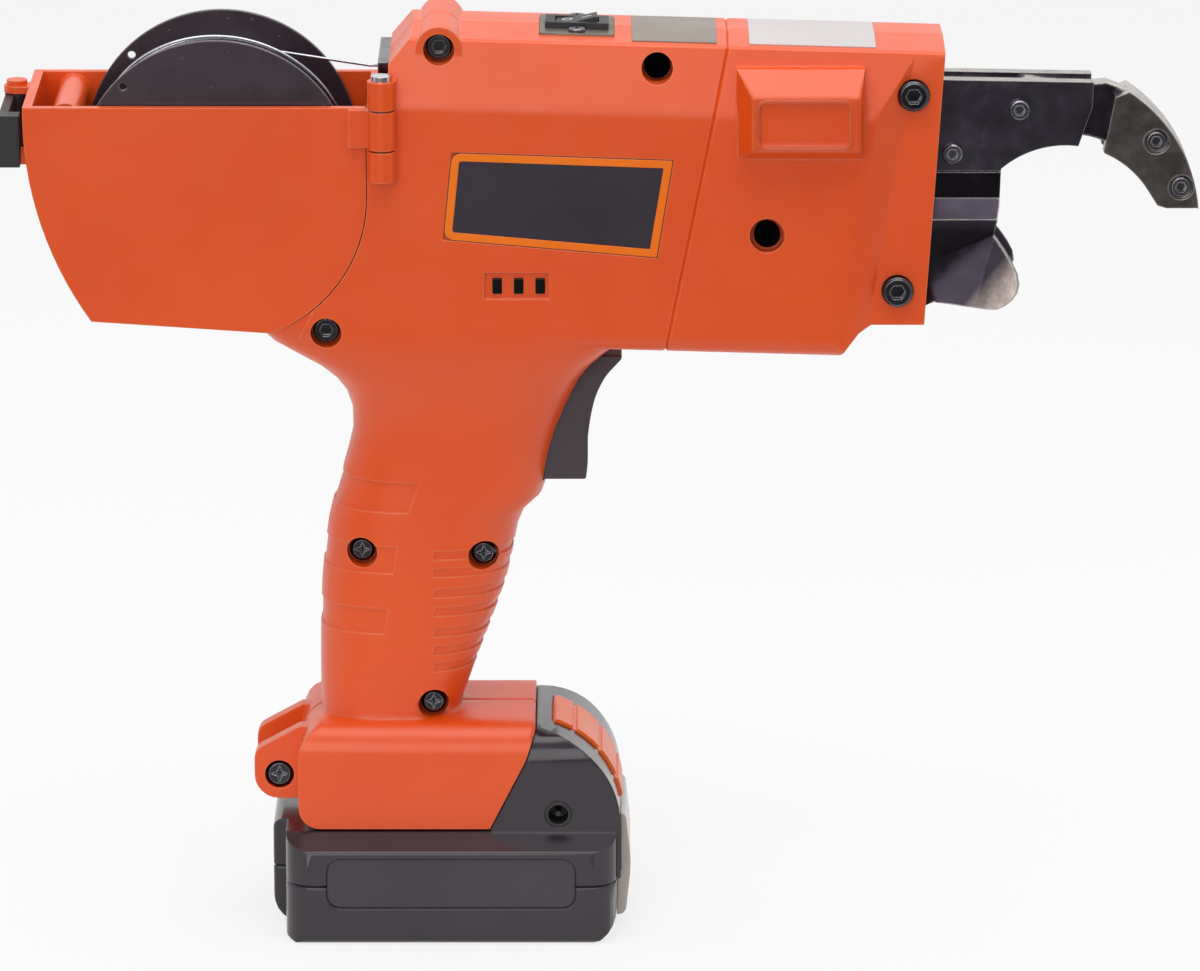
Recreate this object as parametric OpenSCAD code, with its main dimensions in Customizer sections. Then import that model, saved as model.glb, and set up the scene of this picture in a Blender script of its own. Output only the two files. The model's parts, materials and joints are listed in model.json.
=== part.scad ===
// Rebar tying tool: feeds wire from a reel round crossed bars, cuts it and twists it tight.
// X points forward, Y to the tool's left, Z up. The origin is the middle of the battery's flat base.

/* [Battery pack] */
// Length of the battery tub along X
tub_len = 93; // [91:0.5:96]
// Width of the battery tub along Y
tub_w = 70; // [69:0.5:74]
// Height of the seam between tub and upper shell
tub_h = 17; // [15:0.5:18]
// Height of the pack's side walls
pack_side_h = 27; // [26:0.5:28]
// Wall thickness of the pack
pack_wall = 1.8; // [1.5:0.1:2]
// Diameter of a battery cell
cell_d = 21.2; // [20.5:0.1:21.3]
// Length of a battery cell
cell_len = 70; // [65:0.5:72]
// Radius of the pack's front shoulder
shoulder_r = 27; // [26:0.5:28]
// Width of the release button
button_w = 24; // [20:0.5:28]
// Travel of the release button
button_travel = 2.5; // [2:0.1:3]

/* [Foot and grip] */
// Height of the foot's underside above the base
foot_z = 31.6; // [31:0.1:33]
// Height of the foot
foot_h = 30; // [29:0.5:32]
// Width of the foot along Y
foot_w = 54; // [52:0.5:56]
// Length of the foot along X
foot_len = 67; // [65:0.5:69]
// Height of the grip from foot to body
grip_h = 108.5; // [104:0.5:113]
// Depth of the grip along X
grip_depth = 52; // [50:0.5:54]
// Width of the grip along Y
grip_w = 39; // [37:0.5:41]
// Width of the gap between the lanyard ears
ear_gap = 17; // [15:0.5:19]
// Thickness of a lanyard ear
ear_t = 5; // [4:0.5:6]

/* [Body] */
// Width of the body across its flat sides
body_w = 51; // [50:0.5:53]
// Width of the flat top
top_w = 40; // [38:0.5:42]
// Height of the body
body_h = 86; // [84:0.5:89]
// Wall thickness of the housings
wall = 2.5; // [2:0.1:2.8]
// Angle at which the body falls toward the nose
body_fall = 1.6; // [1:0.1:2]
// Length of the nose cover along its underside
nose_len = 71; // [70:0.5:73]
// Lean of the seam between body and nose
split_lean = 11.3; // [10:0.1:12]

/* [Reel] */
// Diameter of the reel's flanges
reel_d = 76; // [74:0.5:77]
// Width of the reel over its flanges
reel_w = 44; // [42:0.5:44.5]
// Thickness of a flange
flange_t = 1.6; // [1.2:0.1:2]
// Diameter of the spindle under the reel
spindle_d = 18; // [16:0.5:19]
// Diameter of the tying wire
wire_d = 0.8; // [0.7:0.1:1]
// Diameter of the round winding over the core
winding_d = 52; // [48:0.5:54]

/* [Jaw] */
// Inner radius of the tying ring
ring_r = 27; // [26:0.5:28]
// Thickness of the jaw over its plates
jaw_w = 16; // [14:0.5:17]
// Thickness of one jaw plate
plate_t = 4.5; // [4:0.1:5]

/* [Drive] */
// Diameter of the twist motor
motor_d = 36; // [34:0.5:37]
// Length of the twist motor
motor_len = 57; // [54:0.5:59]
// Diameter of the gearbox
gearbox_d = 38; // [36:0.5:40]
// Travel of the twister along X
twist_travel = 12; // [8:0.5:13]
// Pitch radius of the feed gears
gear_r = 12.5; // [12:0.1:12.8]
// Number of teeth on a feed gear
gear_teeth = 24; // [20:1:26]

/* [Trigger and switch] */
// Height of the trigger
trigger_h = 36; // [34:0.5:37]
// Width of the trigger
trigger_w = 16; // [14:0.5:18]
// Travel of the trigger
trigger_travel = 6; // [4:0.5:7]
// Length of the rocker switch's bezel
bezel_len = 17.5; // [16:0.5:18.5]
// Width of the rocker switch's bezel
bezel_w = 11; // [10:0.5:12]

/* [Hidden] */
$fn = 48;
// Overrun of every cut, and the length of the half-space blocks
overrun = 1;
reach = 400;
// Clearance of moving faces, of running bores, and of seated pieces
fit_gap = 0.3;
run_gap = 0.05;
seat_gap = 0.1;

// Heights of the tool's main levels
foot_top = foot_z + foot_h;
body_z0 = foot_top + grip_h;
body_z1 = body_z0 + body_h;
half_w = body_w / 2;
inner_w = half_w - wall;

// Reel bay and door: the bay is round about a centre a little below the reel's
reel_r = reel_d / 2;
reel_x = -64;
reel_drop = 38;
reel_z = body_z1 - reel_drop;
bay_gap = 3.7;
bay_r = reel_r + bay_gap;
bay_drop = 5;
bay_z = reel_z - bay_drop;
seam_x = reel_x + bay_r;
rim_rise = 20;
rim_z = reel_z + rim_rise;
box_tail = 52.7;
box_x0 = reel_x - box_tail;
tail_r = 100;
// Bottom corners of the reel box, as shares of the reel radius from its centre
box_floor_shares = [[-0.9, -1.06], [0.42, -1.15], [1.1, -1.2]];

// Body section: crease, top edge and crown, from the body's height
crease_share = 0.79;
crease_z = body_z0 + body_h * crease_share;
crown = 1;
edge_r = 1.5;
belly_r = 5;
crease_r = 12;
// Rear corner of the body above the hinge, as shares of the body's length and height
body_len = 99;
rear_shares = [[0.06, 0.79], [0.06, 0.92], [0.13, 1.02]];

// Seam with the nose and the nose's front
split_x = 60;
front_lean = 3.8;
chin_shares = [[0.66, -0.05], [0.75, 0.04], [0.8, 0.065]];
chin_r = 4;
front_x = split_x + nose_len;
flange_half = 20.5;
bevel_run = 8;
bevel_back = 24;
bevel_x = front_x - bevel_back;
bevel_lean = 9;

// Grip outline: height share, then depth share of its back, front and width
grip_x0 = -37;
back_shares = [[-0.1, 0], [0, 0], [0.18, 0], [0.34, 0.01], [0.5, 0.05], [0.66, 0.145], [0.76, 0.19],
  [0.83, 0.165], [0.88, 0.11], [0.93, 0], [0.965, -0.12], [1, -0.24], [1.06, -0.34], [1.2, -0.34]];
front_shares = [[-0.1, 0.76], [0, 0.76], [0.1, 0.83], [0.18, 0.89], [0.27, 0.96], [0.34, 1.01],
  [0.43, 1.05], [0.5, 1.08], [0.53, 1.11], [0.57, 1.2], [0.61, 1.23], [0.69, 1.26], [0.77, 1.31],
  [0.84, 1.37], [0.9, 1.43], [0.95, 1.52], [1, 1.65], [1.06, 1.72], [1.2, 1.72]];
width_shares = [[-0.1, 1], [0, 1], [0.5, 1], [0.7, 1.01], [0.8, 1.05], [0.88, 1.13], [0.94, 1.22],
  [1, 1.295], [1.06, 1.312], [1.12, 1.307], [1.2, 1.28]];
square_shares = [[-0.1, 2.6], [0.7, 2.6], [0.85, 3], [1, 5], [1.2, 7]];
level_shares = [-0.1, 0.02, 0.1, 0.18, 0.26, 0.34, 0.42, 0.49, 0.53, 0.57, 0.61, 0.68, 0.74, 0.8, 0.85,
  0.89, 0.93, 0.965, 1, 1.03, 1.06, 1.1, 1.16];
ring_n = 32;
// Bands round the grip's back and finger grooves round its front: height shares, depth and ends
band_shares = [[0.549, 0.629], [0.388, 0.46], [0.227, 0.295]];
band_end_angle = 99.5;
groove_shares = [0.437, 0.391, 0.336, 0.286, 0.23, 0.182, 0.135];
groove_h = 2.6;
groove_end_share = 0.62;
cut_depth = 0.5;

// Foot: outline corners as shares of its length and height
foot_x0 = -42.8;
foot_outline_shares = [[0, 0], [0.8, 0], [0.95, 0.66], [1, 1], [0, 1]];
foot_side_r = 9;
foot_corner_r = 6;
foot_bend_r = 10;

// Screw places as shares of body length and height, grip depth and height
body_screw_shares = [[0.2, 0.97], [0.805, 0.91], [-0.118, 0.05]];
grip_screw_shares = [[0.236, 0.44], [0.888, 0.43], [0.615, 0.035]];
recess_r = 4.3;
boss_r = 5.8;
screw_r = 1.9;
screw_head_r = 3.6;
screw_head_h = 3;
socket_share = 0.5;
recess_depth = 6;
ridge_r = 6.3;
screw_side_shares = [0.8, 0.84, 0.97, 0.64, 0.62, 0.69];

// Hinge of the door
hinge_r = 3.9;
hinge_x = seam_x + fit_gap + hinge_r;
hinge_proud = 2.5;
hinge_y = -half_w - hinge_proud;
hinge_pin_r = 1.6;
knuckle_shares = [[-0.98, -0.68], [-0.66, -0.28], [-0.26, 0.02]];
hinge_h = 28;
hinge_z = rim_z + hinge_h * 0.27;
hinge_low = hinge_z + hinge_h * knuckle_shares[0][0];

// Latch on the rear of the reel box
latch_pin_r = 1.5;
latch_lug_r = 3.6;
latch_y = 9;
latch_x = box_x0 - latch_lug_r - seat_gap * 2;
latch_h = 14.4;
latch_z = rim_z - latch_h - 2 * fit_gap - ear_t / 2;
latch_arm_t = 2.5;
latch_arm_off = 4.4;
latch_tip_y = -22;
latch_tip_w = 6;
latch_tip_gap = 1.2;
lug_top_h = 2;
lug_low_h = 5;
lug_reach = 3.5;

// Post across the reel box
post_r = 4.2;
post_in = 11.2;
post_x = box_x0 + post_in;
post_drop = 5;
post_z = rim_z - post_drop;
post_end = -16;

// Wire inlet guide on the body's rear face
inlet_t = 3;
inlet_w = 34;
inlet_h = 16.4;
inlet_rise = 6.5;
inlet_z = rim_z + inlet_rise;
rear_x = seam_x + body_len * rear_shares[0][0];
inlet_bore_r = 1.2;

// Reel, winding and lead
hub_r = 12;
hole_r = 1.1;
hole_in = 2.4;
spindle_r = spindle_d / 2;
spindle_end = -12;
winding_wire_d = 1.2;
loops = 20;
loop_rings = 24;
tube_sides = 6;
winding_side_gap = 1.2;
lead_sides = 8;
lead_rim_in = 2.2;
lead_y = -10;
lead_steps = 60;
lead_turn = 395;
lead_start = 62;

// Jaw outlines, as shares of the ring radius from the ring's centre
throat_out = 12.5;
ring_x = front_x + throat_out + ring_r;
ring_rise = 26.6;
ring_z = body_z0 + ring_rise;
plate_shares = [[0.13, 0.99], [0.27, 1.4], [0.28, 1.66]];
plate_back_shares = [1.7, 0.73];
plate_low_share = [-0.66, 0.73];
plate_angles = [131, 84];
core_top_shares = [[0.6, 1.55], [0.42, 1.62], [0.2, 1.6], [-0.4, 1.66], [-0.5, 1.6], [-0.9, 1.63]];
core_back_shares = [1.66, 0.8];
core_low_share = [-0.75, 0.8];
core_inner_share = 1.09;
core_inner_angles = [133, 34];
tip_arc_mid_share = [-0.24, 0.2];
tip_arc_r_share = 1.62;
tip_outer_angles = [4, 57];
tip_start_shares = [[0.5, 1.5], [0.39, 0.93]];
tip_end_shares = [[0.95, 0.37], [1.04, 0.34], [1.37, 0.34]];
tip_inner_angles = [66, 32];
arc_n = 14;
jaw_screw_shares = [[-0.48, 1.38], [-1.16, 0.92]];
tip_screw_shares = [[0.93, 1.04], [1.19, 0.56]];
m3_r = 1.5;
m3_head_r = 2.8;
m3_head_h = 2;
m3_recess_r = 3.5;

// Lower guide: front outline in ring shares, and the cheek's section
cheek_shares = [[-1.45, -0.66], [-1.315, -0.604], [-0.73, 0.085], [-0.67, 0.4], [-0.66, 0.72]];
cheek_back_shares = [0.72, -0.67];
cheek_t = 2.5;
cheek_in = 8;
cheek_out = 13;
cheek_low = 12;
cheek_bend_shares = [0.45, 0.26, 0.14];
guide_screw_shares = [[-1.72, 0.6]];
// Flap bent outward along the cheek's slanted edge: outline along and away from the bend, in ring shares
lip_tilt = 24;
lip_shares = [[0, -0.05], [0.01, 0.02], [0.04, 0.16], [0.08, 0.3], [0.13, 0.43], [0.2, 0.52], [0.28, 0.565],
  [0.37, 0.575], [0.46, 0.56], [0.55, 0.52], [0.62, 0.44], [0.68, 0.35], [0.92, 0], [0.9, -0.05]];

// Head frame inside the nose
frame_len = 15.5;
frame_x1 = front_x - wall;
frame_x0 = frame_x1 - frame_len;
frame_half = 17.6;
frame_z0_share = -0.66;
frame_z1_share = 1.66;
frame_back = 4;
jaw_back = frame_x0 + frame_back + fit_gap * 2;
m5_r = 2.5;
m5_head_r = 4.2;
m5_head_h = 4;
m5_shares = [[0.955, 0.82], [0.703, 0.178]];
m5_sink = 1.5;

// Twist drive on the ring's axis
gearbox_len = 44;
shaft_r = 5;
sleeve_r = 13;
sleeve_len = 3;
sleeve_gap = 0.8;
gearbox_x1 = frame_x0 - twist_travel - sleeve_len - sleeve_gap * 2;
gearbox_x0 = gearbox_x1 - gearbox_len;
motor_x0 = gearbox_x0 - motor_len;
sleeve_x = gearbox_x1 + sleeve_gap;
bush_r = 8.3;
bush_len = 14;
bush_in = 0.5;
bush_x = frame_x0 + bush_in;
hook_len = 18;
hook_w = 7;
hook_slot = 2.6;
shaft_out = 1.5;
shaft_end = frame_x1 + shaft_out;
motor_rib_t = 2.5;
motor_rib_shares = [0.2, 0.8];
gearbox_rib_shares = [0.35, 0.9];
rib_top = 16;

// Feed drive: gears on upright axles either side of the wire line
gear_back = 16;
gear_x = frame_x0 - gear_back;
gear_rise = 60.5;
gear_z = body_z0 + gear_rise;
gear_t = 7;
gear_bore_r = 3;
tooth_share = 0.075;
mesh_gap = 0.12;
gear_mid = gear_r + mesh_gap;
feed_motor_r = 10;
feed_motor_len = 46;
feed_box_back = 15;
feed_box_x0 = gear_x - feed_box_back;
feed_box_len = 28;
feed_box_h = 10;
feed_box_w = 18;
pad_proud = 7;
// Pad over a gear: base, face and recess as shares of the gear's radius from its middle
pad_base_shares = [[-1.43, -0.57], [1.38, -0.57], [1.38, 1.455], [-1.43, 1.455]];
pad_face_shares = [[-1.085, -0.265], [1.27, -0.265], [1.27, 0.94], [-1.085, 0.94]];
pad_recess_shares = [[-0.945, -0.16], [1.045, -0.16], [1.045, 0.835], [-0.945, 0.835]];
pad_recess = 0.8;
nose_hole_share = [0.802, 0.144];
nose_hole_r = 4.8;
tube_r = 2;
tube_bore_r = 1;
feed_motor_z = gear_z - feed_motor_r * 0.55;
feed_shelf = 3;
tube_stop_share = 0.75;
cutter_r = 4;
cutter_len = 9;
cutter_gap = 1;
cutter_x = frame_x0 + frame_back + cutter_gap;

// Trigger and its switch
trigger_drop = 42;
trigger_z = body_z0 - trigger_drop;
trigger_front_shares = [[1.29, 0], [1.33, 0.15], [1.345, 0.3], [1.4, 0.5], [1.46, 0.66], [1.56, 0.82],
  [1.71, 0.96], [1.72, 1]];
trigger_back_shares = [[1.38, 1], [1, 0.5], [0.82, 0]];
trigger_x_share = 0.4423;
trigger_x0 = grip_x0 + grip_depth * trigger_x_share;
switch_len = 22;
switch_h = 26;
switch_w = 18;
stem_r = 3;
stem_gap = 1;
switch_x = trigger_x0 + trigger_h * trigger_back_shares[2][0] - trigger_travel - stem_gap - switch_len;
switch_z = trigger_z + trigger_h * 0.5 - switch_h / 2;

// Rocker switch and plate on the top
plate_x = 35.3;
plate_len = 20.5;
plate_wide = 25;
top_plate_t = 1.2;
bezel_h = 1.6;
switch_depth = 12;
rocker_len_share = 0.66;
rocker_w_share = 0.6;
rocker_angle = 10;
rocker_lift = 1.2;
plate_screw_r = 1.6;
label_t = 0.3;
label_half = 17;
rear_label_shares = [0.735, 0.97];
front_label_shares = [0.32, 0.81];

// Spec plate, indicator lights and control board
spec_shares = [[0.235, 0.645], [0.21, 0.36], [0.805, 0.3], [0.85, 0.62]];
spec_t = 0.8;
light_x_shares = [0.36, 0.42, 0.48];
light_z_share = 0.205;
light_len = 2.4;
light_h = 4.2;
light_pocket = 1;
light_panel_shares = [0.325, 0.505, 0.165, 0.25];
board_t = 1.6;
board_len = 18;
board_h = 33;
board_x = -30;
board_z = foot_top + wall * 2;
board_y = 9;
chip_h = 3;

// Lanyard ears and screw
ear_x = -48.6;
ear_rise = 12;
ear_z = foot_z + ear_rise;
ear_r = 7;
lanyard_r = 2.4;
lanyard_head_r = 4;
lanyard_recess = 3;

// Pack rails, deck and shoulder
deck_gap = 0.6;
deck_z = foot_z - deck_gap;
shoulder_x = 20.5;
shoulder_z = 33;
shoulder_proud = 0.5;
shoulder_half = foot_w / 2 + shoulder_proud;
rail_half = 14;
rail_lip = 4;
rail_stem_h = 7;
rail_h = 13;
rail_x0 = -33;
rail_x1 = 12;
pack_corner_r = 8;
pack_end_r = 9;
pack_edge_r = 3;
guard_t = 2.2;
guard_half = 19;
guard_proud = 4;
guard_z0 = 4;
guard_z1 = 34;
tail_half = 15;
tail_proud = 4;
panel_len = 70;
panel_h = 14.6;
panel_z = 18;
panel_r = 4;
panel_deep = 0.8;
button_t = 3.2;
button_proud = 0.9;
button_angles = [-10, 90];
button_len = 29;
button_ribs = 3;
button_rib_r = 0.8;
button_dir = 40;
spring_r = 3;
spring_wire = 0.4;
spring_turns = 4;
spring_h = 9;
spring_rings = 16;
socket_r = 3.7;
socket_x = 30;
socket_z = 36;
socket_len = 9;
socket_pin_r = 0.8;
contact_t = 0.8;
contact_h = 7;
contact_len = 12;
block_len = 5;
pack_screw_r = 1.5;
pack_screw_inset = 7.5;
pack_post_r = 3.4;
pack_sink_r = 2.6;
pack_sink = 1;
cell_n = floor((tub_w - pack_wall * 2) / (cell_d + seat_gap));

// Geometry helpers
function unit(v) = v / norm(v);
function turn(a) = [cos(a), sin(a)];
function arc(mid, r, span, n = arc_n) =
  [for (i = [0 : n]) mid + r * turn(span[0] + (span[1] - span[0]) * i / n)];
function corner(a, b, c, r, n = 6) =
  let (u = unit(a - b), v = unit(c - b), h = acos(u * v) / 2, m = b + unit(u + v) * r / sin(h))
  let (p = b + u * r / tan(h) - m, q = b + v * r / tan(h) - m)
  let (s = atan2(p.y, p.x), d = atan2(q.y, q.x) - s, w = d > 180 ? d - 360 : d < -180 ? d + 360 : d)
  r <= 0 ? [b] : [for (i = [0 : n]) m + r * turn(s + w * i / n)];
function rounded(p, r) = let (n = len(p))
  [for (i = [0 : n - 1]) each corner(p[(i + n - 1) % n], p[i], p[(i + 1) % n], r[i])];
// Every edge of a counter-clockwise outline moved inward
function inset(p, d) = let (n = len(p))
  [for (i = [0 : n - 1])
    let (u = unit(p[i] - p[(i + n - 1) % n]), v = unit(p[(i + 1) % n] - p[i]))
    let (a = [-u.y, u.x], b = [-v.y, v.x]) p[i] + d * (a + b) / (1 + a * b)];
// Outline moved inward with round corners; a corner too tight for the move stays sharp
function shelled(p, r, d) = rounded(inset(p, d), [for (v = r) max(v - d, 0)]);
function placed(shares, at, size) = [for (s = shares) [at.x + size.x * s[0], at.y + size.y * s[1]]];
// Smooth value of a table of share pairs
function knot(t, x, i = 0) = i >= len(t) - 2 || x < t[i + 1][0] ? i : knot(t, x, i + 1);
function slope(t, i) = let (a = t[max(i - 1, 0)], b = t[min(i + 1, len(t) - 1)])
  (b[1] - a[1]) / (b[0] - a[0]);
function eased(t, x) = let (i = knot(t, x), h = t[i + 1][0] - t[i][0], s = (x - t[i][0]) / h)
  (1 + 2 * s) * pow(1 - s, 2) * t[i][1] + s * pow(1 - s, 2) * h * slope(t, i)
  + s * s * (3 - 2 * s) * t[i + 1][1] + s * s * (s - 1) * h * slope(t, i + 1);
function signed_pow(v, k) = sign(v) * pow(abs(v), k);

module xz(points, y0, y1) {
  translate([0, y1, 0])
    rotate([90, 0, 0])
      linear_extrude(y1 - y0)
        polygon(points);
}

module yz(points, x0, x1) {
  translate([x0, 0, 0])
    rotate([90, 0, 90])
      linear_extrude(x1 - x0)
        polygon(points);
}

module rod_x(y, z, r, x0, x1) {
  translate([x0, y, z])
    rotate([0, 90, 0])
      cylinder(h = x1 - x0, r = r);
}

module rod_y(x, z, r, y0, y1) {
  translate([x, y0, z])
    rotate([-90, 0, 0])
      cylinder(h = y1 - y0, r = r);
}

module rod_z(x, y, r, z0, z1) {
  translate([x, y, z0])
    cylinder(h = z1 - z0, r = r);
}

module block(a, b) {
  translate(a)
    cube(b - a);
}

// Keeps one side of the parting plane: -1 is the right half, 1 the left half
module half(side) {
  intersection() {
    children();
    block([-reach, side < 0 ? -reach : 0, -reach], [reach, side < 0 ? 0 : reach, reach]);
  }
}

// Solid through equal rings of points, counter-clockwise about the way from first ring to last
module loft(rings) {
  n = len(rings[0]);
  m = len(rings);
  walls = [for (j = [0 : m - 2], i = [0 : n - 1])
    let (a = j * n + i, b = j * n + (i + 1) % n) each [[a, a + n, b + n], [a, b + n, b]]];
  low = [for (i = [1 : n - 2]) [0, i, i + 1]];
  high = [for (i = [1 : n - 2]) [(m - 1) * n, (m - 1) * n + i + 1, (m - 1) * n + i]];
  polyhedron(points = [for (r = rings) each r], faces = concat(walls, low, high));
}

// Tube of equal rings about a path of points, with straight ends
function ring_at(path, i, r, sides) =
  let (n = len(path), t = unit(path[min(i + 1, n - 1)] - path[max(i - 1, 0)]))
  let (u = unit(cross(t, abs(t.y) < 0.8 ? [0, 1, 0] : [1, 0, 0])), v = cross(t, u))
  [for (k = [0 : sides - 1]) path[i] + r * (cos(360 * k / sides) * u + sin(360 * k / sides) * v)];

module tube(path, r, sides) {
  loft([for (i = [0 : len(path) - 1]) ring_at(path, i, r, sides)]);
}

// Section of the body, falling toward the nose
module body_prism(d) {
  section = shelled(
    [[half_w, body_z0], [half_w, crease_z], [top_w / 2, body_z1], [0, body_z1 + crown],
      [-top_w / 2, body_z1], [-half_w, crease_z], [-half_w, body_z0]],
    [belly_r, crease_r, edge_r, 0, edge_r, crease_r, belly_r], d);
  rotate([0, body_fall, 0])
    yz(section, -reach, reach);
}

function split_at(z) = split_x + (z - body_z0) * tan(split_lean);
function front_at(z) = front_x + (z - body_z0) * tan(front_lean);

function body_outline(d) = let (low = body_z0 - belly_r * 2, high = body_z1 + belly_r * 2)
  inset([[split_at(low), low], [split_at(high), high], [seam_x + body_len * 0.14, high],
    for (i = [2 : -1 : 0]) [seam_x + body_len * rear_shares[i][0], body_z0 + body_h * rear_shares[i][1]],
    [seam_x, rim_z], [seam_x, bay_z], [reel_x + bay_r * 0.4, low]], d);

function nose_outline(d) = let (low = body_z0 - belly_r * 2, high = body_z1 + belly_r * 2)
  let (chin = placed(chin_shares, [split_x, body_z0], [nose_len, body_h]))
  inset([[split_at(low), low], [chin[0].x, low], each chin, [front_at(chin[2].y), chin[2].y],
    [front_at(high), high], [split_at(high), high]], d);

// Space of the reel, open toward the rear and the top
module bay(d, y0, y1) {
  rod_y(reel_x, bay_z, bay_r + d, y0, y1);
  block([-reach, y0, bay_z], [seam_x + d, y1, reach]);
  block([-reach, y0, 0], [reel_x, y1, bay_z]);
}

// Points of the grip's section at a height share, moved inward, at the angles given
function grip_points(s, d, angles) =
  let (x0 = grip_x0 + grip_depth * eased(back_shares, s) + d)
  let (x1 = grip_x0 + grip_depth * eased(front_shares, s) - d)
  let (w = grip_w / 2 * eased(width_shares, s) - d, k = 2 / eased(square_shares, s))
  [for (a = angles) [(x0 + x1) / 2 + (x1 - x0) / 2 * signed_pow(cos(a), k), w * signed_pow(sin(a), k),
    foot_top + grip_h * s]];
function grip_ring(s, d) = grip_points(s, d, [for (i = [0 : ring_n - 1]) 360 * (i + 0.5) / ring_n]);

module grip(d) {
  loft([for (s = level_shares) grip_ring(s, d)]);
}

// Shallow cut into the grip between two height shares, over a span of angles
module grip_cut(low, high, span) {
  step = 360 / ring_n;
  angles = concat([span[0]], [for (i = [-ring_n : ring_n]) let (a = (i + 0.5) * step)
    if (a > span[0] + step / 4 && a < span[1] - step / 4) a], [span[1]]);
  inner = [for (s = [low, high]) grip_points(s, cut_depth, angles)];
  outer = [for (s = [low, high]) grip_points(s, -overrun, angles)];
  loft([for (i = [0 : len(angles) - 1]) [inner[0][i], inner[1][i], outer[1][i], outer[0][i]]]);
}

// Angle of the grip's section at a place along its depth
function grip_angle(s, x) =
  let (a = grip_x0 + grip_depth * eased(back_shares, s), b = grip_x0 + grip_depth * eased(front_shares, s))
  acos(signed_pow((x - (a + b) / 2) * 2 / (b - a), eased(square_shares, s) / 2));

module grip_cuts() {
  for (s = band_shares)
    grip_cut(s[0], s[1], [band_end_angle, 360 - band_end_angle]);
  for (s = groove_shares) {
    a = grip_angle(s, grip_x0 + grip_depth * groove_end_share);
    grip_cut(s - groove_h / grip_h / 2, s + groove_h / grip_h / 2, [-a, a]);
  }
}

module foot(d) {
  outline = shelled(placed(foot_outline_shares, [foot_x0, foot_z], [foot_len, foot_h]),
    [foot_corner_r, 0, foot_bend_r, edge_r, foot_bend_r], d);
  section = shelled([[foot_w / 2, foot_z], [foot_w / 2, foot_top], [-foot_w / 2, foot_top],
    [-foot_w / 2, foot_z]], [0, foot_side_r, foot_side_r, 0], d);
  intersection() {
    xz(outline, -foot_w, foot_w);
    yz(section, -reach, reach);
  }
}

function body_screws() = placed(body_screw_shares, [seam_x, body_z0], [body_len, body_h]);
function grip_screws() = placed(grip_screw_shares, [grip_x0, foot_top], [grip_depth, grip_h]);
function all_screws() = concat(body_screws(), grip_screws());
function screw_side(i) = half_w * screw_side_shares[i];

module lanyard_ears() {
  for (s = [-1, 1])
    xz(rounded([[ear_x - ear_r, ear_z - ear_r], [foot_x0 + wall, ear_z - ear_r],
      [foot_x0 + wall, ear_z + ear_r * 2], [foot_x0, ear_z + ear_r * 2],
      [ear_x - ear_r, ear_z + ear_r]], [ear_r * 0.98, 0, 0, 0, ear_r * 0.6]),
      s < 0 ? -ear_gap / 2 - ear_t : ear_gap / 2, s < 0 ? -ear_gap / 2 : ear_gap / 2 + ear_t);
}

// Outside of the two housings, before they are parted
module housing_outer() {
  difference() {
    union() {
      intersection() {
        body_prism(0);
        xz(body_outline(0), -reach, reach);
      }
      grip(0);
      foot(0);
      intersection() {
        rod_y(body_screws()[0].x, body_screws()[0].y, ridge_r, -half_w, half_w);
        block([-reach, -top_w / 2 - edge_r, 0], [reach, top_w / 2 + edge_r, reach]);
      }
    }
    bay(0, -reach, reach);
  }
}

// Hollow of the housings, with walls left at the bay and the foot's front
module housing_hollow() {
  difference() {
    union() {
      intersection() {
        body_prism(wall);
        xz(inset(body_outline(0), wall), -reach, reach);
      }
      difference() {
        grip(wall);
        block([-reach, -reach, 0], [reach, reach, foot_top - wall]);
      }
      block([foot_x0 + wall, -rail_half - rail_lip - fit_gap, foot_z - overrun],
        [reach, rail_half + rail_lip + fit_gap, foot_z + rail_h + fit_gap]);
      block([foot_x0 + wall * 2, -rail_half, foot_z], [rail_x0, rail_half, foot_top - wall]);
    }
    bay(wall, -reach, reach);
    for (s = [-1, 1])
      block([foot_x0, s < 0 ? -reach : rail_half + fit_gap, 0],
        [reach, s < 0 ? -rail_half - fit_gap : reach, foot_z + rail_stem_h - fit_gap]);
  }
}

// Ribs that seat the motor, and posts for the screws
module housing_ribs() {
  intersection() {
    body_prism(wall / 2);
    xz(inset(body_outline(0), wall / 2), -reach, reach);
    difference() {
      for (s = motor_rib_shares)
        block([motor_x0 + motor_len * s, -half_w, 0],
          [motor_x0 + motor_len * s + motor_rib_t, half_w, ring_z + rib_top]);
      rod_x(0, ring_z, motor_d / 2 + seat_gap, -reach, reach);
    }
  }
}

module screw_post(i) {
  p = all_screws()[i];
  side = screw_side(i) - wall / 2;
  rod_y(p.x, p.y, i == 0 ? ridge_r - edge_r / 2 : boss_r, -side, side);
}

module screw_posts() {
  for (i = [0 : 2])
    screw_post(i);
  intersection() {
    grip(wall / 2);
    for (i = [3 : 5])
      screw_post(i);
  }
}

// Pads either side of the trigger switch
module switch_pads() {
  for (s = [-1, 1], x = [0.15, 0.7])
    block([switch_x + switch_len * x, s < 0 ? -grip_w / 2 + wall / 2 : switch_w / 2 + seat_gap, switch_z],
      [switch_x + switch_len * x + wall, s < 0 ? -switch_w / 2 - seat_gap : grip_w / 2 - wall / 2,
        switch_z + switch_h]);
}

// Posts on the left wall for the control board
module board_posts() {
  for (x = [0.35, 0.8], z = [0.15, 0.85])
    rod_y(board_x + board_len * x, board_z + board_h * z, wall, board_y + board_t, grip_w / 2 - wall);
}

// Clearance bores and head recesses on the right, pilot bores on the left
module screw_bores() {
  for (i = [0 : 5]) {
    p = all_screws()[i];
    rod_y(p.x, p.y, recess_r, -reach, -screw_side(i) + recess_depth);
    rod_y(p.x, p.y, screw_r + seat_gap, -reach, screw_side(i) - wall * 2);
  }
}

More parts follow.
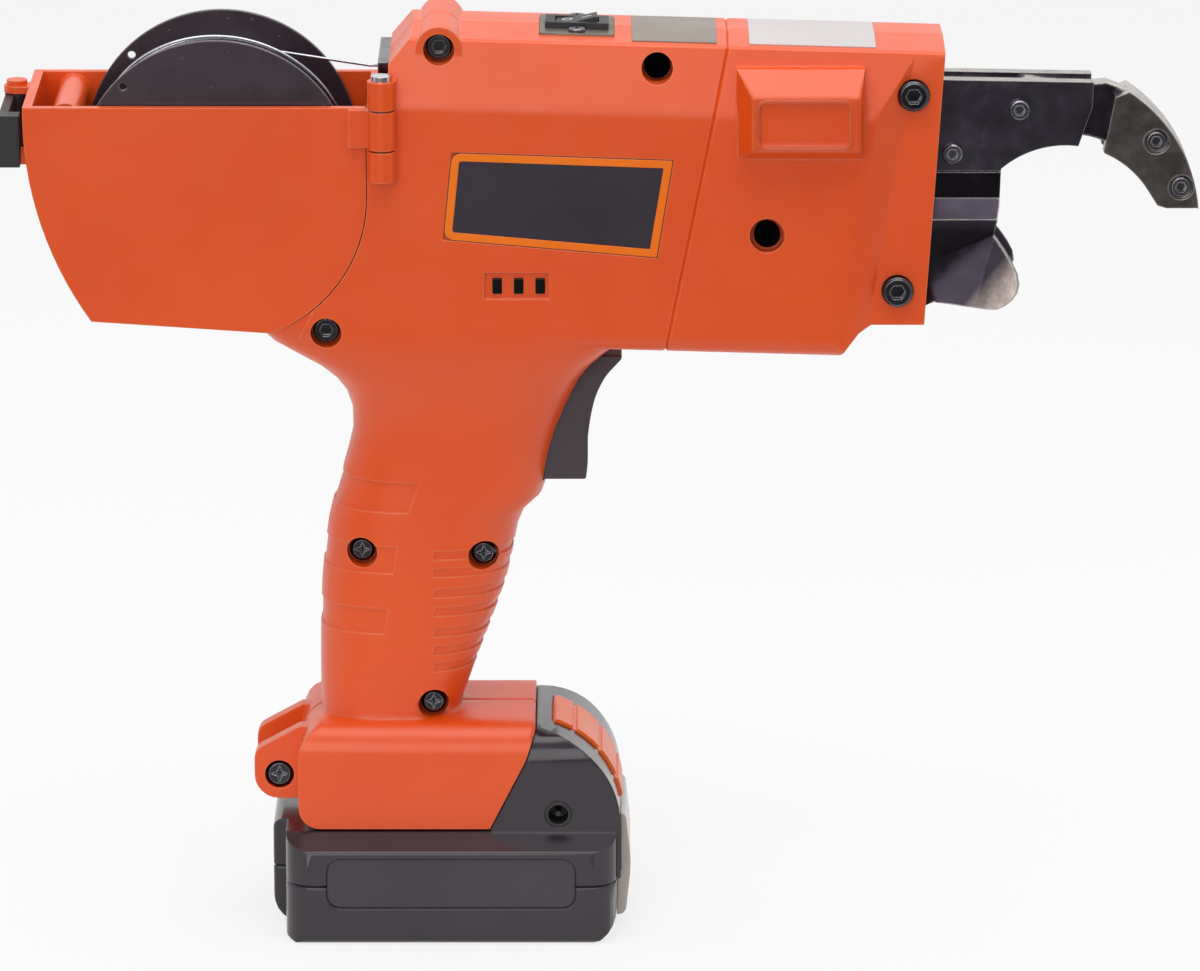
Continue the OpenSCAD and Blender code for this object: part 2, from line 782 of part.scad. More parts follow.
// Openings for trigger, switch, lights, plates and inlet
module housing_openings() {
  block([switch_x, -trigger_w / 2 - fit_gap, trigger_z - fit_gap],
    [grip_x0 + grip_depth * 2, trigger_w / 2 + fit_gap, trigger_z + trigger_h + fit_gap]);
  translate([plate_x, 0, top_at(plate_x)])
    rotate([0, body_fall, 0]) {
      block([-plate_len / 2 - seat_gap, -plate_wide / 2 - seat_gap, -top_plate_t],
        [plate_len / 2 + seat_gap, plate_wide / 2 + seat_gap, wall * 2]);
      block([-bezel_len / 2 + bezel_h, -bezel_w / 2 + bezel_h / 2, -switch_depth],
        [bezel_len / 2 - bezel_h, bezel_w / 2 - bezel_h / 2, 0]);
      for (s = [-1, 1])
        rod_z(0, s * plate_wide * 0.37, plate_screw_r, -wall * 2, 0);
    }
  xz(inset(spec_outline(), -seat_gap), -reach, -half_w + spec_t);
  light_panel(seat_gap, -half_w + light_pocket);
  for (s = light_x_shares)
    light(s, seat_gap, -half_w, -inner_w + wall);
  rod_x(0, inlet_z, inlet_bore_r * 2, seam_x - overrun, rear_x + wall * 2);
  drive_bores();
}

// Room for the twist gearbox, the feed motor and the wire tube where they cross a wall
module drive_bores() {
  rod_x(0, ring_z, gearbox_d / 2 + seat_gap, gearbox_x0 - overrun, gearbox_x1);
  rod_x(gear_mid, feed_motor_z, feed_motor_r + seat_gap, feed_box_x0 - feed_motor_len - overrun, feed_box_x0);
  feed_box(seat_gap);
  sloped_tube(tube_r + seat_gap);
}

function top_at(x) = (body_z1 + crown) / cos(body_fall) - x * tan(body_fall);
function spec_outline() = placed(spec_shares, [seam_x, body_z0], [body_len, body_h]);

module light_panel(d, y1) {
  s = light_panel_shares;
  block([seam_x + body_len * s[0] - d, -half_w - overrun, body_z0 + body_h * s[2] - d],
    [seam_x + body_len * s[1] + d, y1, body_z0 + body_h * s[3] + d]);
}

module light(s, d, y0, y1) {
  x = seam_x + body_len * s;
  z = body_z0 + body_h * light_z_share;
  block([x - light_len / 2 - d, y0, z - light_h / 2 - d], [x + light_len / 2 + d, y1, z + light_h / 2 + d]);
}

module housing() {
  difference() {
    union() {
      difference() {
        housing_outer();
        housing_hollow();
      }
      difference() {
        union() {
          housing_ribs();
          screw_posts();
          switch_pads();
        }
        bay(wall / 2, -reach, reach);
      }
      lanyard_ears();
    }
    grip_cuts();
    screw_bores();
    housing_openings();
    rod_y(ear_x, ear_z, lanyard_r + seat_gap, -reach, reach);
    rod_y(ear_x, ear_z, lanyard_head_r + seat_gap, -reach, -ear_gap / 2 - ear_t + lanyard_recess);
  }
}

function box_outline() = let (a = asin((rim_z - tail_r * 0.03 - reel_z + reel_r * 1.06) / tail_r))
  concat(arc([box_x0 + tail_r, rim_z - tail_r * 0.03], tail_r, [180, 180 + a]),
    placed([for (i = [1, 2]) box_floor_shares[i]], [reel_x, reel_z], [reel_r, reel_r]),
    [[reel_x + reel_r * 1.3, rim_z], [box_x0, rim_z]]);

// One side of the reel box, out to a gap from the bay's edge
module box_side(side, d) {
  difference() {
    intersection() {
      xz(box_outline(), side < 0 ? -half_w : 0, side < 0 ? -fit_gap : half_w - seat_gap);
      bay(d, -reach, reach);
    }
    intersection() {
      xz([for (p = inset(box_outline(), wall))
        [p.x > reel_x + bay_r / 2 ? reach : p.x, p.y > rim_z - wall * 2 ? reach : p.y]],
        -inner_w, inner_w);
      block([-reach, -reach, 0], [reach, reach, reach]);
    }
  }
}

module knuckle(i, d) {
  s = knuckle_shares[i];
  rod_z(hinge_x, hinge_y, hinge_r + d, hinge_z + hinge_h * s[0] - d, hinge_z + hinge_h * s[1] + d);
}

module right_housing() {
  color("darkorange")
    difference() {
      union() {
        half(-1)
          housing();
        for (i = [0, 2]) {
          knuckle(i, 0);
          block([hinge_x, hinge_y, hinge_z + hinge_h * knuckle_shares[i][0]],
            [hinge_x + hinge_r, -inner_w - wall / 4, hinge_z + hinge_h * knuckle_shares[i][1]]);
        }
      }
      knuckle(1, fit_gap);
      block([seam_x - overrun, hinge_y, hinge_z + hinge_h * knuckle_shares[1][0] - fit_gap],
        [hinge_x, -inner_w - wall / 3, hinge_z + hinge_h * knuckle_shares[1][1] + fit_gap]);
      rod_z(hinge_x, hinge_y, hinge_pin_r + run_gap, hinge_low - overrun, reach);
    }
}

module left_housing() {
  color("darkorange")
    difference() {
      union() {
        half(1)
          housing();
        box_side(1, wall / 2);
        rod_y(reel_x, reel_z, spindle_r, spindle_end, inner_w + wall / 2);
        rod_y(post_x, post_z, post_r, post_end, inner_w + wall / 2);
        latch_lugs();
        board_posts();
      }
      rod_z(latch_x, latch_y, latch_pin_r + run_gap, 0, reach);
    }
}

module latch_lugs() {
  for (z = [[latch_z - fit_gap - lug_low_h, latch_z - fit_gap],
    [latch_z + latch_h + fit_gap, latch_z + latch_h + fit_gap + lug_top_h]]) {
    rod_z(latch_x, latch_y, latch_lug_r, z[0], z[1]);
    block([latch_x, latch_y - lug_reach, z[0]], [box_x0 + wall, latch_y + lug_reach, z[1]]);
  }
}

module reel_door() {
  color("darkorange")
    difference() {
      union() {
        box_side(-1, -fit_gap);
        knuckle(1, 0);
        block([seam_x - wall * 2, hinge_y + hinge_r * 0.2, hinge_z + hinge_h * knuckle_shares[1][0]],
          [hinge_x, -inner_w - wall / 3 - fit_gap, hinge_z + hinge_h * knuckle_shares[1][1]]);
      }
      rod_z(hinge_x, hinge_y, hinge_pin_r + run_gap, hinge_low - overrun, reach);
    }
}

module door_hinge_pin() {
  color("silver") {
    rod_z(hinge_x, hinge_y, hinge_pin_r, hinge_low,
      hinge_z + hinge_h * knuckle_shares[2][1]);
    rod_z(hinge_x, hinge_y, hinge_r * 0.75, hinge_z + hinge_h * knuckle_shares[2][1],
      hinge_z + hinge_h * knuckle_shares[2][1] + edge_r);
  }
}

module door_latch() {
  color("dimgray")
    difference() {
      union() {
        rod_z(latch_x, latch_y, latch_lug_r - seat_gap * 2, latch_z, latch_z + latch_h);
        block([box_x0 - latch_arm_off - latch_arm_t, latch_tip_y, latch_z],
          [box_x0 - latch_arm_off, latch_y, latch_z + latch_h]);
        block([box_x0 - latch_arm_off - latch_arm_t, latch_tip_y, latch_z],
          [box_x0 - latch_tip_gap, latch_tip_y + latch_tip_w, latch_z + latch_h]);
      }
      rod_z(latch_x, latch_y, latch_pin_r + run_gap, 0, reach);
    }
}

module latch_pin() {
  color("darkorange") {
    rod_z(latch_x, latch_y, latch_pin_r, latch_z - fit_gap - lug_low_h,
      latch_z + latch_h + fit_gap + lug_top_h);
    rod_z(latch_x, latch_y, latch_lug_r * 0.8, latch_z + latch_h + fit_gap + lug_top_h,
      latch_z + latch_h + fit_gap + lug_top_h + edge_r);
  }
}

module wire_inlet_guide() {
  color("slategray")
    difference() {
      union() {
        block([rear_x - inlet_t, -inlet_w / 2, rim_z], [rear_x, inlet_w / 2, rim_z + inlet_h]);
        rod_x(0, inlet_z, inlet_bore_r * 2 - seat_gap, rear_x, rear_x + wall * 2);
      }
      rod_x(0, inlet_z, inlet_bore_r, -reach, reach);
    }
}

module wire_reel() {
  color("black")
    difference() {
      union() {
        for (s = [-1, 1])
          rod_y(reel_x, reel_z, reel_r, s < 0 ? -reel_w / 2 : reel_w / 2 - flange_t,
            s < 0 ? -reel_w / 2 + flange_t : reel_w / 2);
        rod_y(reel_x, reel_z, hub_r, -reel_w / 2, reel_w / 2);
      }
      rod_y(reel_x, reel_z, spindle_r + run_gap, -reach, reach);
      rod_y(reel_x + (reel_r - hole_in) * cos(135), reel_z + (reel_r - hole_in) * sin(135), hole_r,
        -reach, reach);
    }
}

module wire_core() {
  color("silver")
    difference() {
      rod_y(reel_x, reel_z, winding_d / 2 - winding_wire_d - fit_gap, -reel_w / 2 + flange_t,
        reel_w / 2 - flange_t);
      rod_y(reel_x, reel_z, hub_r + seat_gap, -reach, reach);
    }
}

function winding_path() =
  let (r = (winding_d - winding_wire_d) / 2, y = reel_w / 2 - flange_t - winding_side_gap)
  let (turns = [for (i = [0 : loops * loop_rings]) let (a = 360 * i / loop_rings)
    [reel_x + r * cos(a), y - 2 * y * i / (loops * loop_rings), reel_z + r * sin(a)]])
  let (n = len(turns), u = unit(turns[0] - turns[1]), v = unit(turns[n - 1] - turns[n - 2]))
  concat([turns[0] + u * winding_wire_d], turns, [turns[n - 1] + v * winding_wire_d]);

// Least gap of the winding to itself, measured on the points of its path
function winding_gap() = let (p = winding_path(), n = len(p))
  min([for (i = [0 : n - 1], j = [i + loop_rings / 2 : 1 : min(n - 1, i + loop_rings * 2)])
    norm(p[i] - p[j])]) - winding_wire_d;

module wire_winding() {
  color("silver")
    tube(winding_path(), winding_wire_d / 2, tube_sides);
}

// Loose turn round the reel, then straight to the inlet
function lead_path() = let (r = reel_r - lead_rim_in)
  concat([[rear_x + wall, 0, inlet_z], [rear_x - inlet_t - wall, 0, inlet_z]],
    [for (i = [0 : lead_steps]) let (s = i / lead_steps, a = lead_start + lead_turn * s)
      let (q = r - (r - winding_d / 2 - winding_wire_d) * pow(s, 3))
      [reel_x + q * cos(a), lead_y * min(1, 0.55 + s), reel_z + q * sin(a)]]);

module wire_lead() {
  color("silver")
    tube(lead_path(), wire_d / 2, lead_sides);
}

function ring_pt(shares) = placed(shares, [ring_x, ring_z], [ring_r, ring_r]);
function ring_arc(r_share, span) = arc([ring_x, ring_z], ring_r * r_share, span);

function back_pt(shares) = [for (s = shares) [jaw_back, ring_z + ring_r * s]];
function plate_outline() = concat(ring_arc(1, plate_angles), ring_pt(plate_shares), back_pt(plate_back_shares),
  ring_pt([plate_low_share]));
function tip_outline() = concat(ring_pt([tip_start_shares[1]]), ring_arc(1, tip_inner_angles),
  ring_pt(tip_end_shares),
  arc(ring_pt([tip_arc_mid_share])[0], ring_r * tip_arc_r_share, tip_outer_angles),
  ring_pt([tip_start_shares[0]]));
function core_outline() = concat(ring_arc(core_inner_share, core_inner_angles), ring_pt(tip_end_shares),
  arc(ring_pt([tip_arc_mid_share])[0], ring_r * tip_arc_r_share, tip_outer_angles),
  ring_pt(core_top_shares), back_pt(core_back_shares), ring_pt([core_low_share]));

module jaw_bores(shares, recess) {
  for (p = ring_pt(shares)) {
    rod_y(p.x, p.y, m3_r + seat_gap, -reach, reach);
    if (recess)
      for (s = [-1, 1])
        rod_y(p.x, p.y, m3_recess_r, s < 0 ? -reach : jaw_w / 2 - m3_head_h,
          s < 0 ? -jaw_w / 2 + m3_head_h : reach);
  }
}

module frame_bores() {
  for (p = m5_places())
    rod_y(p.x, p.y, m5_r + seat_gap, -reach, reach);
}

function m5_places() = placed(m5_shares, [frame_x0, body_z0], [frame_len, body_h]);

module jaw_plate(side) {
  color("dimgray")
    difference() {
      xz(plate_outline(), side < 0 ? -jaw_w / 2 : jaw_w / 2 - plate_t,
        side < 0 ? -jaw_w / 2 + plate_t : jaw_w / 2);
      jaw_bores(jaw_screw_shares, false);
      frame_bores();
    }
}

module jaw_right_plate() {
  jaw_plate(-1);
}

module jaw_left_plate() {
  jaw_plate(1);
}

module jaw_core() {
  color("gray")
    difference() {
      xz(core_outline(), -jaw_w / 2 + plate_t, jaw_w / 2 - plate_t);
      jaw_bores(concat(jaw_screw_shares, tip_screw_shares), false);
      frame_bores();
      rod_x(0, wire_line, tube_r + seat_gap, -reach, cutter_x + cutter_len);
      rod_y(cutter_x + cutter_r, wire_line, cutter_r + seat_gap, -reach, reach);
    }
}

module tip_plate(side) {
  color("dimgray")
    difference() {
      xz(tip_outline(), side < 0 ? -jaw_w / 2 : jaw_w / 2 - plate_t,
        side < 0 ? -jaw_w / 2 + plate_t : jaw_w / 2);
      jaw_bores(tip_screw_shares, true);
    }
}

module tip_right_plate() {
  tip_plate(-1);
}

module tip_left_plate() {
  tip_plate(1);
}

// Socket head screw along Y, its head on the side given
module socket_screw(x, z, seat, end, r, head_r, head_h, side) {
  difference() {
    union() {
      rod_y(x, z, r, min(seat, end), max(seat, end));
      rod_y(x, z, head_r, side < 0 ? seat - head_h : seat, side < 0 ? seat : seat + head_h);
    }
    translate([x, side < 0 ? seat - head_h - overrun : seat + head_h + overrun, z])
      rotate([side < 0 ? -90 : 90, 0, 0])
        cylinder(h = head_h * socket_share + overrun, r = head_r * socket_share, $fn = 6);
  }
}

module jaw_screws() {
  color("black") {
    for (p = ring_pt(jaw_screw_shares))
      socket_screw(p.x, p.y, -jaw_w / 2, jaw_w / 2, m3_r, m3_head_r, m3_head_h, -1);
    for (p = ring_pt(tip_screw_shares))
      socket_screw(p.x, p.y, -jaw_w / 2 + m3_head_h, jaw_w / 2 - m3_head_h, m3_r, m3_head_r, m3_head_h,
        -1);
  }
}

// Section of one cheek of the lower guide, on the right
function cheek_section() =
  let (z = [for (s = cheek_bend_shares) ring_z + ring_r * s])
  let (top = ring_z + ring_r * 0.72, low = ring_z - ring_r * 0.72)
  [[-cheek_in, top], [-cheek_in, z[0]], [-cheek_out, z[1]], [-cheek_low, z[2]], [-cheek_low, low],
    [-cheek_low + cheek_t, low], [-cheek_low + cheek_t, z[2] + cheek_t / 2],
    [-cheek_out + cheek_t * 1.4, z[1] + cheek_t / 2], [-cheek_in + cheek_t, z[0] + cheek_t / 2],
    [-cheek_in + cheek_t, top]];

module guide_lip() {
  a = ring_pt([cheek_shares[2]])[0];
  b = ring_pt([cheek_shares[1]])[0];
  translate([a.x, -cheek_low, a.y])
    rotate([90, 0, 0])
      rotate([0, 0, atan2(b.y - a.y, b.x - a.x)])
        rotate([lip_tilt, 0, 0])
          translate([0, 0, -cheek_t])
            linear_extrude(cheek_t)
              polygon(lip_shares * ring_r);
}

module cheek() {
  difference() {
    union() {
      intersection() {
        yz(cheek_section(), frame_x0, reach);
        xz(concat(ring_pt(cheek_shares), back_pt(cheek_back_shares)), -reach, reach);
      }
      guide_lip();
    }
    for (p = guide_screw_places())
      rod_y(p.x, p.y, m3_r + seat_gap, -reach, reach);
    frame_bores();
  }
}

function guide_screw_places() = ring_pt(guide_screw_shares);

module guide_right_cheek() {
  color("dimgray")
    cheek();
}

module guide_left_cheek() {
  color("dimgray")
    mirror([0, 1, 0])
      cheek();
}

module guide_screws() {
  color("black")
    for (p = guide_screw_places(), s = [-1, 1])
      socket_screw(p.x, p.y, s * cheek_in, s * m3_r, m3_r, m3_head_r, m3_head_h, s);
}

wire_line = gear_z + gear_t / 2;

module head_frame() {
  color("silver")
    difference() {
      block([frame_x0, -frame_half, ring_z + ring_r * frame_z0_share],
        [frame_x1, frame_half, ring_z + ring_r * frame_z1_share]);
      block([frame_x0 + frame_back, -jaw_w / 2 - seat_gap, ring_z + ring_r * 0.73 - seat_gap],
        [frame_x1 + overrun, jaw_w / 2 + seat_gap, reach]);
      for (s = [-1, 1])
        mirror([0, s < 0 ? 0 : 1, 0])
          yz(inset(cheek_section(), -seat_gap), frame_x0 + frame_back, frame_x1 + overrun);
      rod_x(0, ring_z, bush_r + seat_gap, -reach, reach);
      rod_x(0, wire_line, tube_r + seat_gap, -reach, reach);
      frame_bores();
      for (p = guide_screw_places()) {
        rod_y(p.x, p.y, m3_r + seat_gap, -reach, reach);
        for (s = [-1, 1])
          rod_y(p.x, p.y, m3_recess_r, s < 0 ? -reach : cheek_in, s < 0 ? -cheek_in : reach);
      }
    }
}

module twist_bush() {
  color("peru")
    difference() {
      rod_x(0, ring_z, bush_r, bush_x, bush_x + bush_len);
      rod_x(0, ring_z, shaft_r + run_gap, -reach, reach);
    }
}

module twist_motor() {
  color("gray") {
    rod_x(0, ring_z, motor_d / 2, motor_x0, motor_x0 + motor_len);
    rod_x(0, ring_z, motor_d / 6, motor_x0 - wall, motor_x0);
  }
}

module gearbox() {
  color("dimgray")
    difference() {
      rod_x(0, ring_z, gearbox_d / 2, gearbox_x0, gearbox_x1);
      rod_x(0, ring_z, shaft_r + run_gap, gearbox_x1 - twist_travel * 2, reach);
      rod_y(nose_hole().x, nose_hole().y, screw_r + seat_gap, -reach, -gearbox_d / 4);
    }
}

// Collar that carries the turning shaft forward and back
module thrust_sleeve() {
  color("silver")
    difference() {
      rod_x(0, ring_z, sleeve_r, sleeve_x, sleeve_x + sleeve_len);
      rod_x(0, ring_z, shaft_r + run_gap, -reach, reach);
    }
}

module twist_shaft() {
  color("silver") {
    rod_x(0, ring_z, shaft_r, gearbox_x1 - twist_travel, shaft_end);
  }
}

module twist_hooks() {
  color("gray")
    difference() {
      union() {
        rod_x(0, ring_z, hook_w * 0.8, shaft_end, shaft_end + hook_len * 0.3);
        intersection() {
          rod_x(0, ring_z, hook_w * 0.8, shaft_end, shaft_end + hook_len);
          block([0, -hook_w / 2, 0], [reach, hook_w / 2, reach]);
        }
      }
      block([shaft_end + hook_len * 0.4, -hook_slot / 2, 0], [reach, hook_slot / 2, reach]);
    }
}

module feed_motor() {
  color("gray")
    rod_x(gear_mid, feed_motor_z, feed_motor_r, feed_box_x0 - feed_motor_len, feed_box_x0);
}

// Case of the feed drive, grown by a gap at its sides and ends
module feed_box(d) {
  block([feed_box_x0 - d, gear_mid - feed_box_w / 2 - d, gear_z - fit_gap * 2 - feed_box_h],
    [feed_box_x0 + feed_box_len + d, gear_mid + feed_box_w / 2 + d, gear_z - fit_gap * 2]);
}

module feed_gearbox() {
  color("dimgray") {
    feed_box(0);
    rod_z(gear_x, gear_mid, gear_bore_r, gear_z - fit_gap * 2, gear_z + gear_t + wall);
  }
}

// Toothed wheel with straight-sided teeth
function gear_points(phase) = [for (i = [0 : gear_teeth - 1], k = [0 : 3])
  let (a = phase + 360 * (i + [-0.33, -0.13, 0.13, 0.33][k]) / gear_teeth)
  let (r = gear_r * (1 + (k == 0 || k == 3 ? -tooth_share : tooth_share * 0.8))) r * turn(a)];

module feed_gear(side, phase) {
  translate([gear_x, side * gear_mid, gear_z])
    difference() {
      linear_extrude(gear_t)
        polygon(gear_points(phase));
      translate([0, 0, -overrun])
        cylinder(h = gear_t + overrun * 2, r = gear_bore_r + run_gap);
    }
}

module feed_drive_gear() {
  color("silver")
    feed_gear(1, -90);
}

module feed_idler_gear() {
  color("silver")
    feed_gear(-1, 90 + 180 / gear_teeth);
}

module idler_bracket() {
  color("dimgray") {
    block([gear_x - feed_box_w / 2, -gear_mid - feed_box_w / 2, gear_z - fit_gap * 2 - feed_box_h],
      [gear_x + feed_box_w / 2, -gear_mid + feed_box_w / 2, gear_z - fit_gap * 2]);
    rod_z(gear_x, -gear_mid, gear_bore_r, gear_z - fit_gap * 2, gear_z + gear_t + wall);
  }
}

// Stretch of the wire's way from the inlet down to the feed gears
module sloped_tube(r) {
  a = [rear_x + wall * 2 + overrun, inlet_z];
  b = [gear_x - gear_r * tube_stop_share, wire_line];
  translate([a.x, 0, a.y])
    rotate([0, 90 + atan((a.y - b.y) / (b.x - a.x)), 0])
      cylinder(h = norm(b - a), r = r);
}

// Guide tube in two lengths, either side of the feed gears
module wire_tube() {
  color("silver") {
    difference() {
      sloped_tube(tube_r);
      sloped_tube(tube_bore_r);
    }
    difference() {
      rod_x(0, wire_line, tube_r, gear_x + gear_r * tube_stop_share, cutter_x);
      rod_x(0, wire_line, tube_bore_r, -reach, reach);
    }
  }
}

module cutter_blade() {
  color("silver")
    difference() {
      rod_y(cutter_x + cutter_r, wire_line, cutter_r, -jaw_w / 2 + plate_t, jaw_w / 2 - plate_t);
      rod_x(0, wire_line, tube_bore_r, -reach, reach);
    }
}

function trigger_outline() =
  placed(concat(trigger_front_shares, trigger_back_shares), [trigger_x0, trigger_z], [trigger_h, trigger_h]);

module trigger() {
  color("dimgray") {
    intersection() {
      xz(trigger_outline(), -trigger_w / 2, trigger_w / 2);
      block([-reach, -reach, trigger_z], [reach, reach, trigger_z + trigger_h - fit_gap]);
    }
    rod_x(0, trigger_z + trigger_h * 0.5, stem_r, switch_x + switch_len - trigger_travel,
      trigger_x0 + trigger_h * 1.1);
  }
}

module trigger_switch() {
  color("black")
    difference() {
      block([switch_x, -switch_w / 2, switch_z],
        [switch_x + switch_len, switch_w / 2, switch_z + switch_h]);
      rod_x(0, trigger_z + trigger_h * 0.5, stem_r + run_gap,
        switch_x + switch_len - trigger_travel * 2 - stem_gap, reach);
    }
}

// Places a piece on the falling top at the switch
module on_top(x) {
  translate([x, 0, top_at(x)])
    rotate([0, body_fall, 0])
      children();
}

module switch_plate() {
  color("gray")
    on_top(plate_x)
      difference() {
        block([-plate_len / 2, -plate_wide / 2, -top_plate_t], [plate_len / 2, plate_wide / 2, 0]);
        block([-bezel_len / 2 + bezel_h - seat_gap, -bezel_w / 2 + bezel_h / 2 - seat_gap, -reach],
          [bezel_len / 2 - bezel_h + seat_gap, bezel_w / 2 - bezel_h / 2 + seat_gap, reach]);
        for (s = [-1, 1])
          rod_z(0, s * plate_wide * 0.37, plate_screw_r + seat_gap, -wall, wall);
      }
}

module switch_body() {
  color("black")
    on_top(plate_x)
      difference() {
        union() {
          block([-bezel_len / 2, -bezel_w / 2, 0], [bezel_len / 2, bezel_w / 2, bezel_h]);
          block([-bezel_len / 2 + bezel_h + seat_gap, -bezel_w / 2 + bezel_h / 2 + seat_gap,
            -switch_depth + seat_gap],
            [bezel_len / 2 - bezel_h - seat_gap, bezel_w / 2 - bezel_h / 2 - seat_gap, 0]);
        }
        rocker_well();
      }
}

module rocker_well() {
  rod_y(0, bezel_h - bezel_len * 0.04, bezel_len * rocker_len_share / 2 + fit_gap,
    -bezel_w * rocker_w_share / 2 - fit_gap, bezel_w * rocker_w_share / 2 + fit_gap);
}

// Paddle that turns about Y in its round well
module rocker() {
  r = bezel_len * rocker_len_share / 2;
  color("black")
    on_top(plate_x)
      translate([0, 0, bezel_h - bezel_len * 0.04])
        rotate([0, -rocker_angle, 0])
          intersection() {
            rod_y(0, 0, r, -bezel_w * rocker_w_share / 2, bezel_w * rocker_w_share / 2);
            xz([[-r, -r], [r, -r], [r, rocker_lift], [0, rocker_lift * 0.6], [-r, rocker_lift]],
              -bezel_w, bezel_w);
          }
}

module plate_screws() {
  color("silver")
    on_top(plate_x)
      for (s = [-1, 1]) {
        rod_z(0, s * plate_wide * 0.37, plate_screw_r - seat_gap, -wall * 2, 0);
        rod_z(0, s * plate_wide * 0.37, plate_screw_r * 1.5, 0, label_t * 3);
      }
}

// Board on the left grip wall, with two chips and a connector
module control_board() {
  color("darkgreen")
    block([board_x, board_y, board_z], [board_x + board_len, board_y + board_t, board_z + board_h]);
  color("black") {
    block([board_x + board_len * 0.2, board_y - chip_h, board_z + board_h * 0.1],
      [board_x + board_len * 0.6, board_y, board_z + board_h * 0.4]);
    block([board_x + board_len * 0.3, board_y - chip_h, board_z + board_h * 0.55],
      [board_x + board_len * 0.8, board_y, board_z + board_h * 0.85]);
  }
}

module indicator_lights() {
  color("black")
    for (s = light_x_shares)
      light(s, 0, -half_w + light_pocket / 2, -inner_w + wall);
}

module spec_plate() {
  color("black")
    xz(spec_outline(), -half_w, -half_w + spec_t);
}

// Blank plates on the body's and the nose's top
module top_labels() {
  color("silver") {
    x = [for (s = rear_label_shares) seam_x + body_len * s];
    n = [for (s = front_label_shares) split_x + nose_len * s];
    for (p = [x, n])
      translate([p[0], 0, top_at(p[0])])
        rotate([0, body_fall, 0])
          yz([[label_half, -crown * label_half * 2 / top_w], [0, 0],
            [-label_half, -crown * label_half * 2 / top_w],
            [-label_half, label_t - crown * label_half * 2 / top_w], [0, label_t],
            [label_half, label_t - crown * label_half * 2 / top_w]], 0, p[1] - p[0]);
  }
}

module housing_screws() {
  color("black")
    for (i = [0 : 5]) {
      p = all_screws()[i];
      socket_screw(p.x, p.y, -screw_side(i) + recess_depth, screw_side(i) - wall * 3, screw_r,
        screw_head_r, screw_head_h, -1);
    }
}

function nose_hole() = placed([nose_hole_share], [gearbox_x0, ring_z], [gearbox_len, gearbox_d])[0];

// Side flange of the nose's front, set in by a bevel
module nose_wedge(d) {
  translate([bevel_x, 0, body_z0])
    rotate([0, bevel_lean, 0])
      for (s = [-1, 1])
        mirror([0, s < 0 ? 0 : 1, 0])
          translate([0, 0, -reach / 2])
            linear_extrude(reach)
              polygon([[-d, -half_w - overrun + d], [-d, -half_w + d], [bevel_run - d, -flange_half + d],
                [reach, -flange_half + d], [reach, -half_w - overrun + d]]);
}

function pad_pt(shares) = placed(shares, [gear_x, gear_z], [gear_r, gear_r]);
function pad_ring(shares, y) = [for (p = pad_pt(shares)) [p.x, y, p.y]];

module gear_pad() {
  intersection() {
    loft([pad_ring(pad_base_shares, -flange_half), pad_ring(pad_base_shares, -half_w + wall / 4),
      pad_ring(pad_face_shares, -half_w - pad_proud)]);
    xz(nose_outline(0), -reach, reach);
  }
}

module nose() {
  difference() {
    union() {
      difference() {
        intersection() {
          body_prism(0);
          xz(nose_outline(0), -reach, reach);
        }
        nose_wedge(0);
      }
      gear_pad();
      mirror([0, 1, 0])
        gear_pad();
    }
    difference() {
      intersection() {
        body_prism(wall);
        xz(inset(nose_outline(0), wall), -reach, reach);
      }
      nose_wedge(wall);
      nose_posts();
    }
    for (s = [-1, 1]) {
      rod_z(gear_x, s * gear_mid, gear_r * 1.18, gear_z - fit_gap * 2, gear_z + gear_t + wall);
      mirror([0, s < 0 ? 0 : 1, 0])
        xz(pad_pt(pad_recess_shares), -half_w - pad_proud - overrun, -half_w - pad_proud + pad_recess);
    }
    rod_x(0, wire_line, tube_r + seat_gap, gear_x, reach);
    drive_bores();
    block([frame_x1 - wall, -cheek_out - fit_gap, ring_z - ring_r * 0.7],
      [reach, cheek_out + fit_gap, ring_z + ring_r * 1.72]);
    frame_bores();
    for (p = m5_places(), s = [-1, 1])
      rod_y(p.x, p.y, m5_head_r + fit_gap, s < 0 ? -reach : flange_half - m5_sink,
        s < 0 ? -flange_half + m5_sink : reach);
    rod_y(nose_hole().x, nose_hole().y, nose_hole_r, -reach, -gearbox_d / 2 - wall);
    rod_y(nose_hole().x, nose_hole().y, screw_r + seat_gap, -reach, 0);
  }
}

// Ribs that seat the gearbox and the collar for the side screw
module nose_posts() {
  for (s = gearbox_rib_shares)
    block([gearbox_x0 + gearbox_len * s, -half_w, 0],
      [gearbox_x0 + gearbox_len * s + motor_rib_t, half_w, ring_z + rib_top]);
  rod_y(nose_hole().x, nose_hole().y, nose_hole_r + wall, -half_w, -gearbox_d / 2 + wall);
  block([gear_x - gear_r / 2, -half_w, gear_z - fit_gap * 2 - feed_box_h - feed_shelf],
    [gear_x + gear_r / 2, half_w, gear_z - fit_gap * 2 - feed_box_h]);
}

module right_nose_cover() {
  color("darkorange")
    half(-1)
      nose();
}

module left_nose_cover() {
  color("darkorange")
    half(1)
      nose();
}

module nose_screws() {
  color("black") {
    for (p = m5_places(), s = [-1, 1])
      socket_screw(p.x, p.y, s * (flange_half - m5_sink), s * overrun / 2, m5_r, m5_head_r, m5_head_h, s);
    socket_screw(nose_hole().x, nose_hole().y, -gearbox_d / 2 - wall, -gearbox_d / 4 - overrun, screw_r,
      screw_head_r, screw_head_h, -1);
  }
}

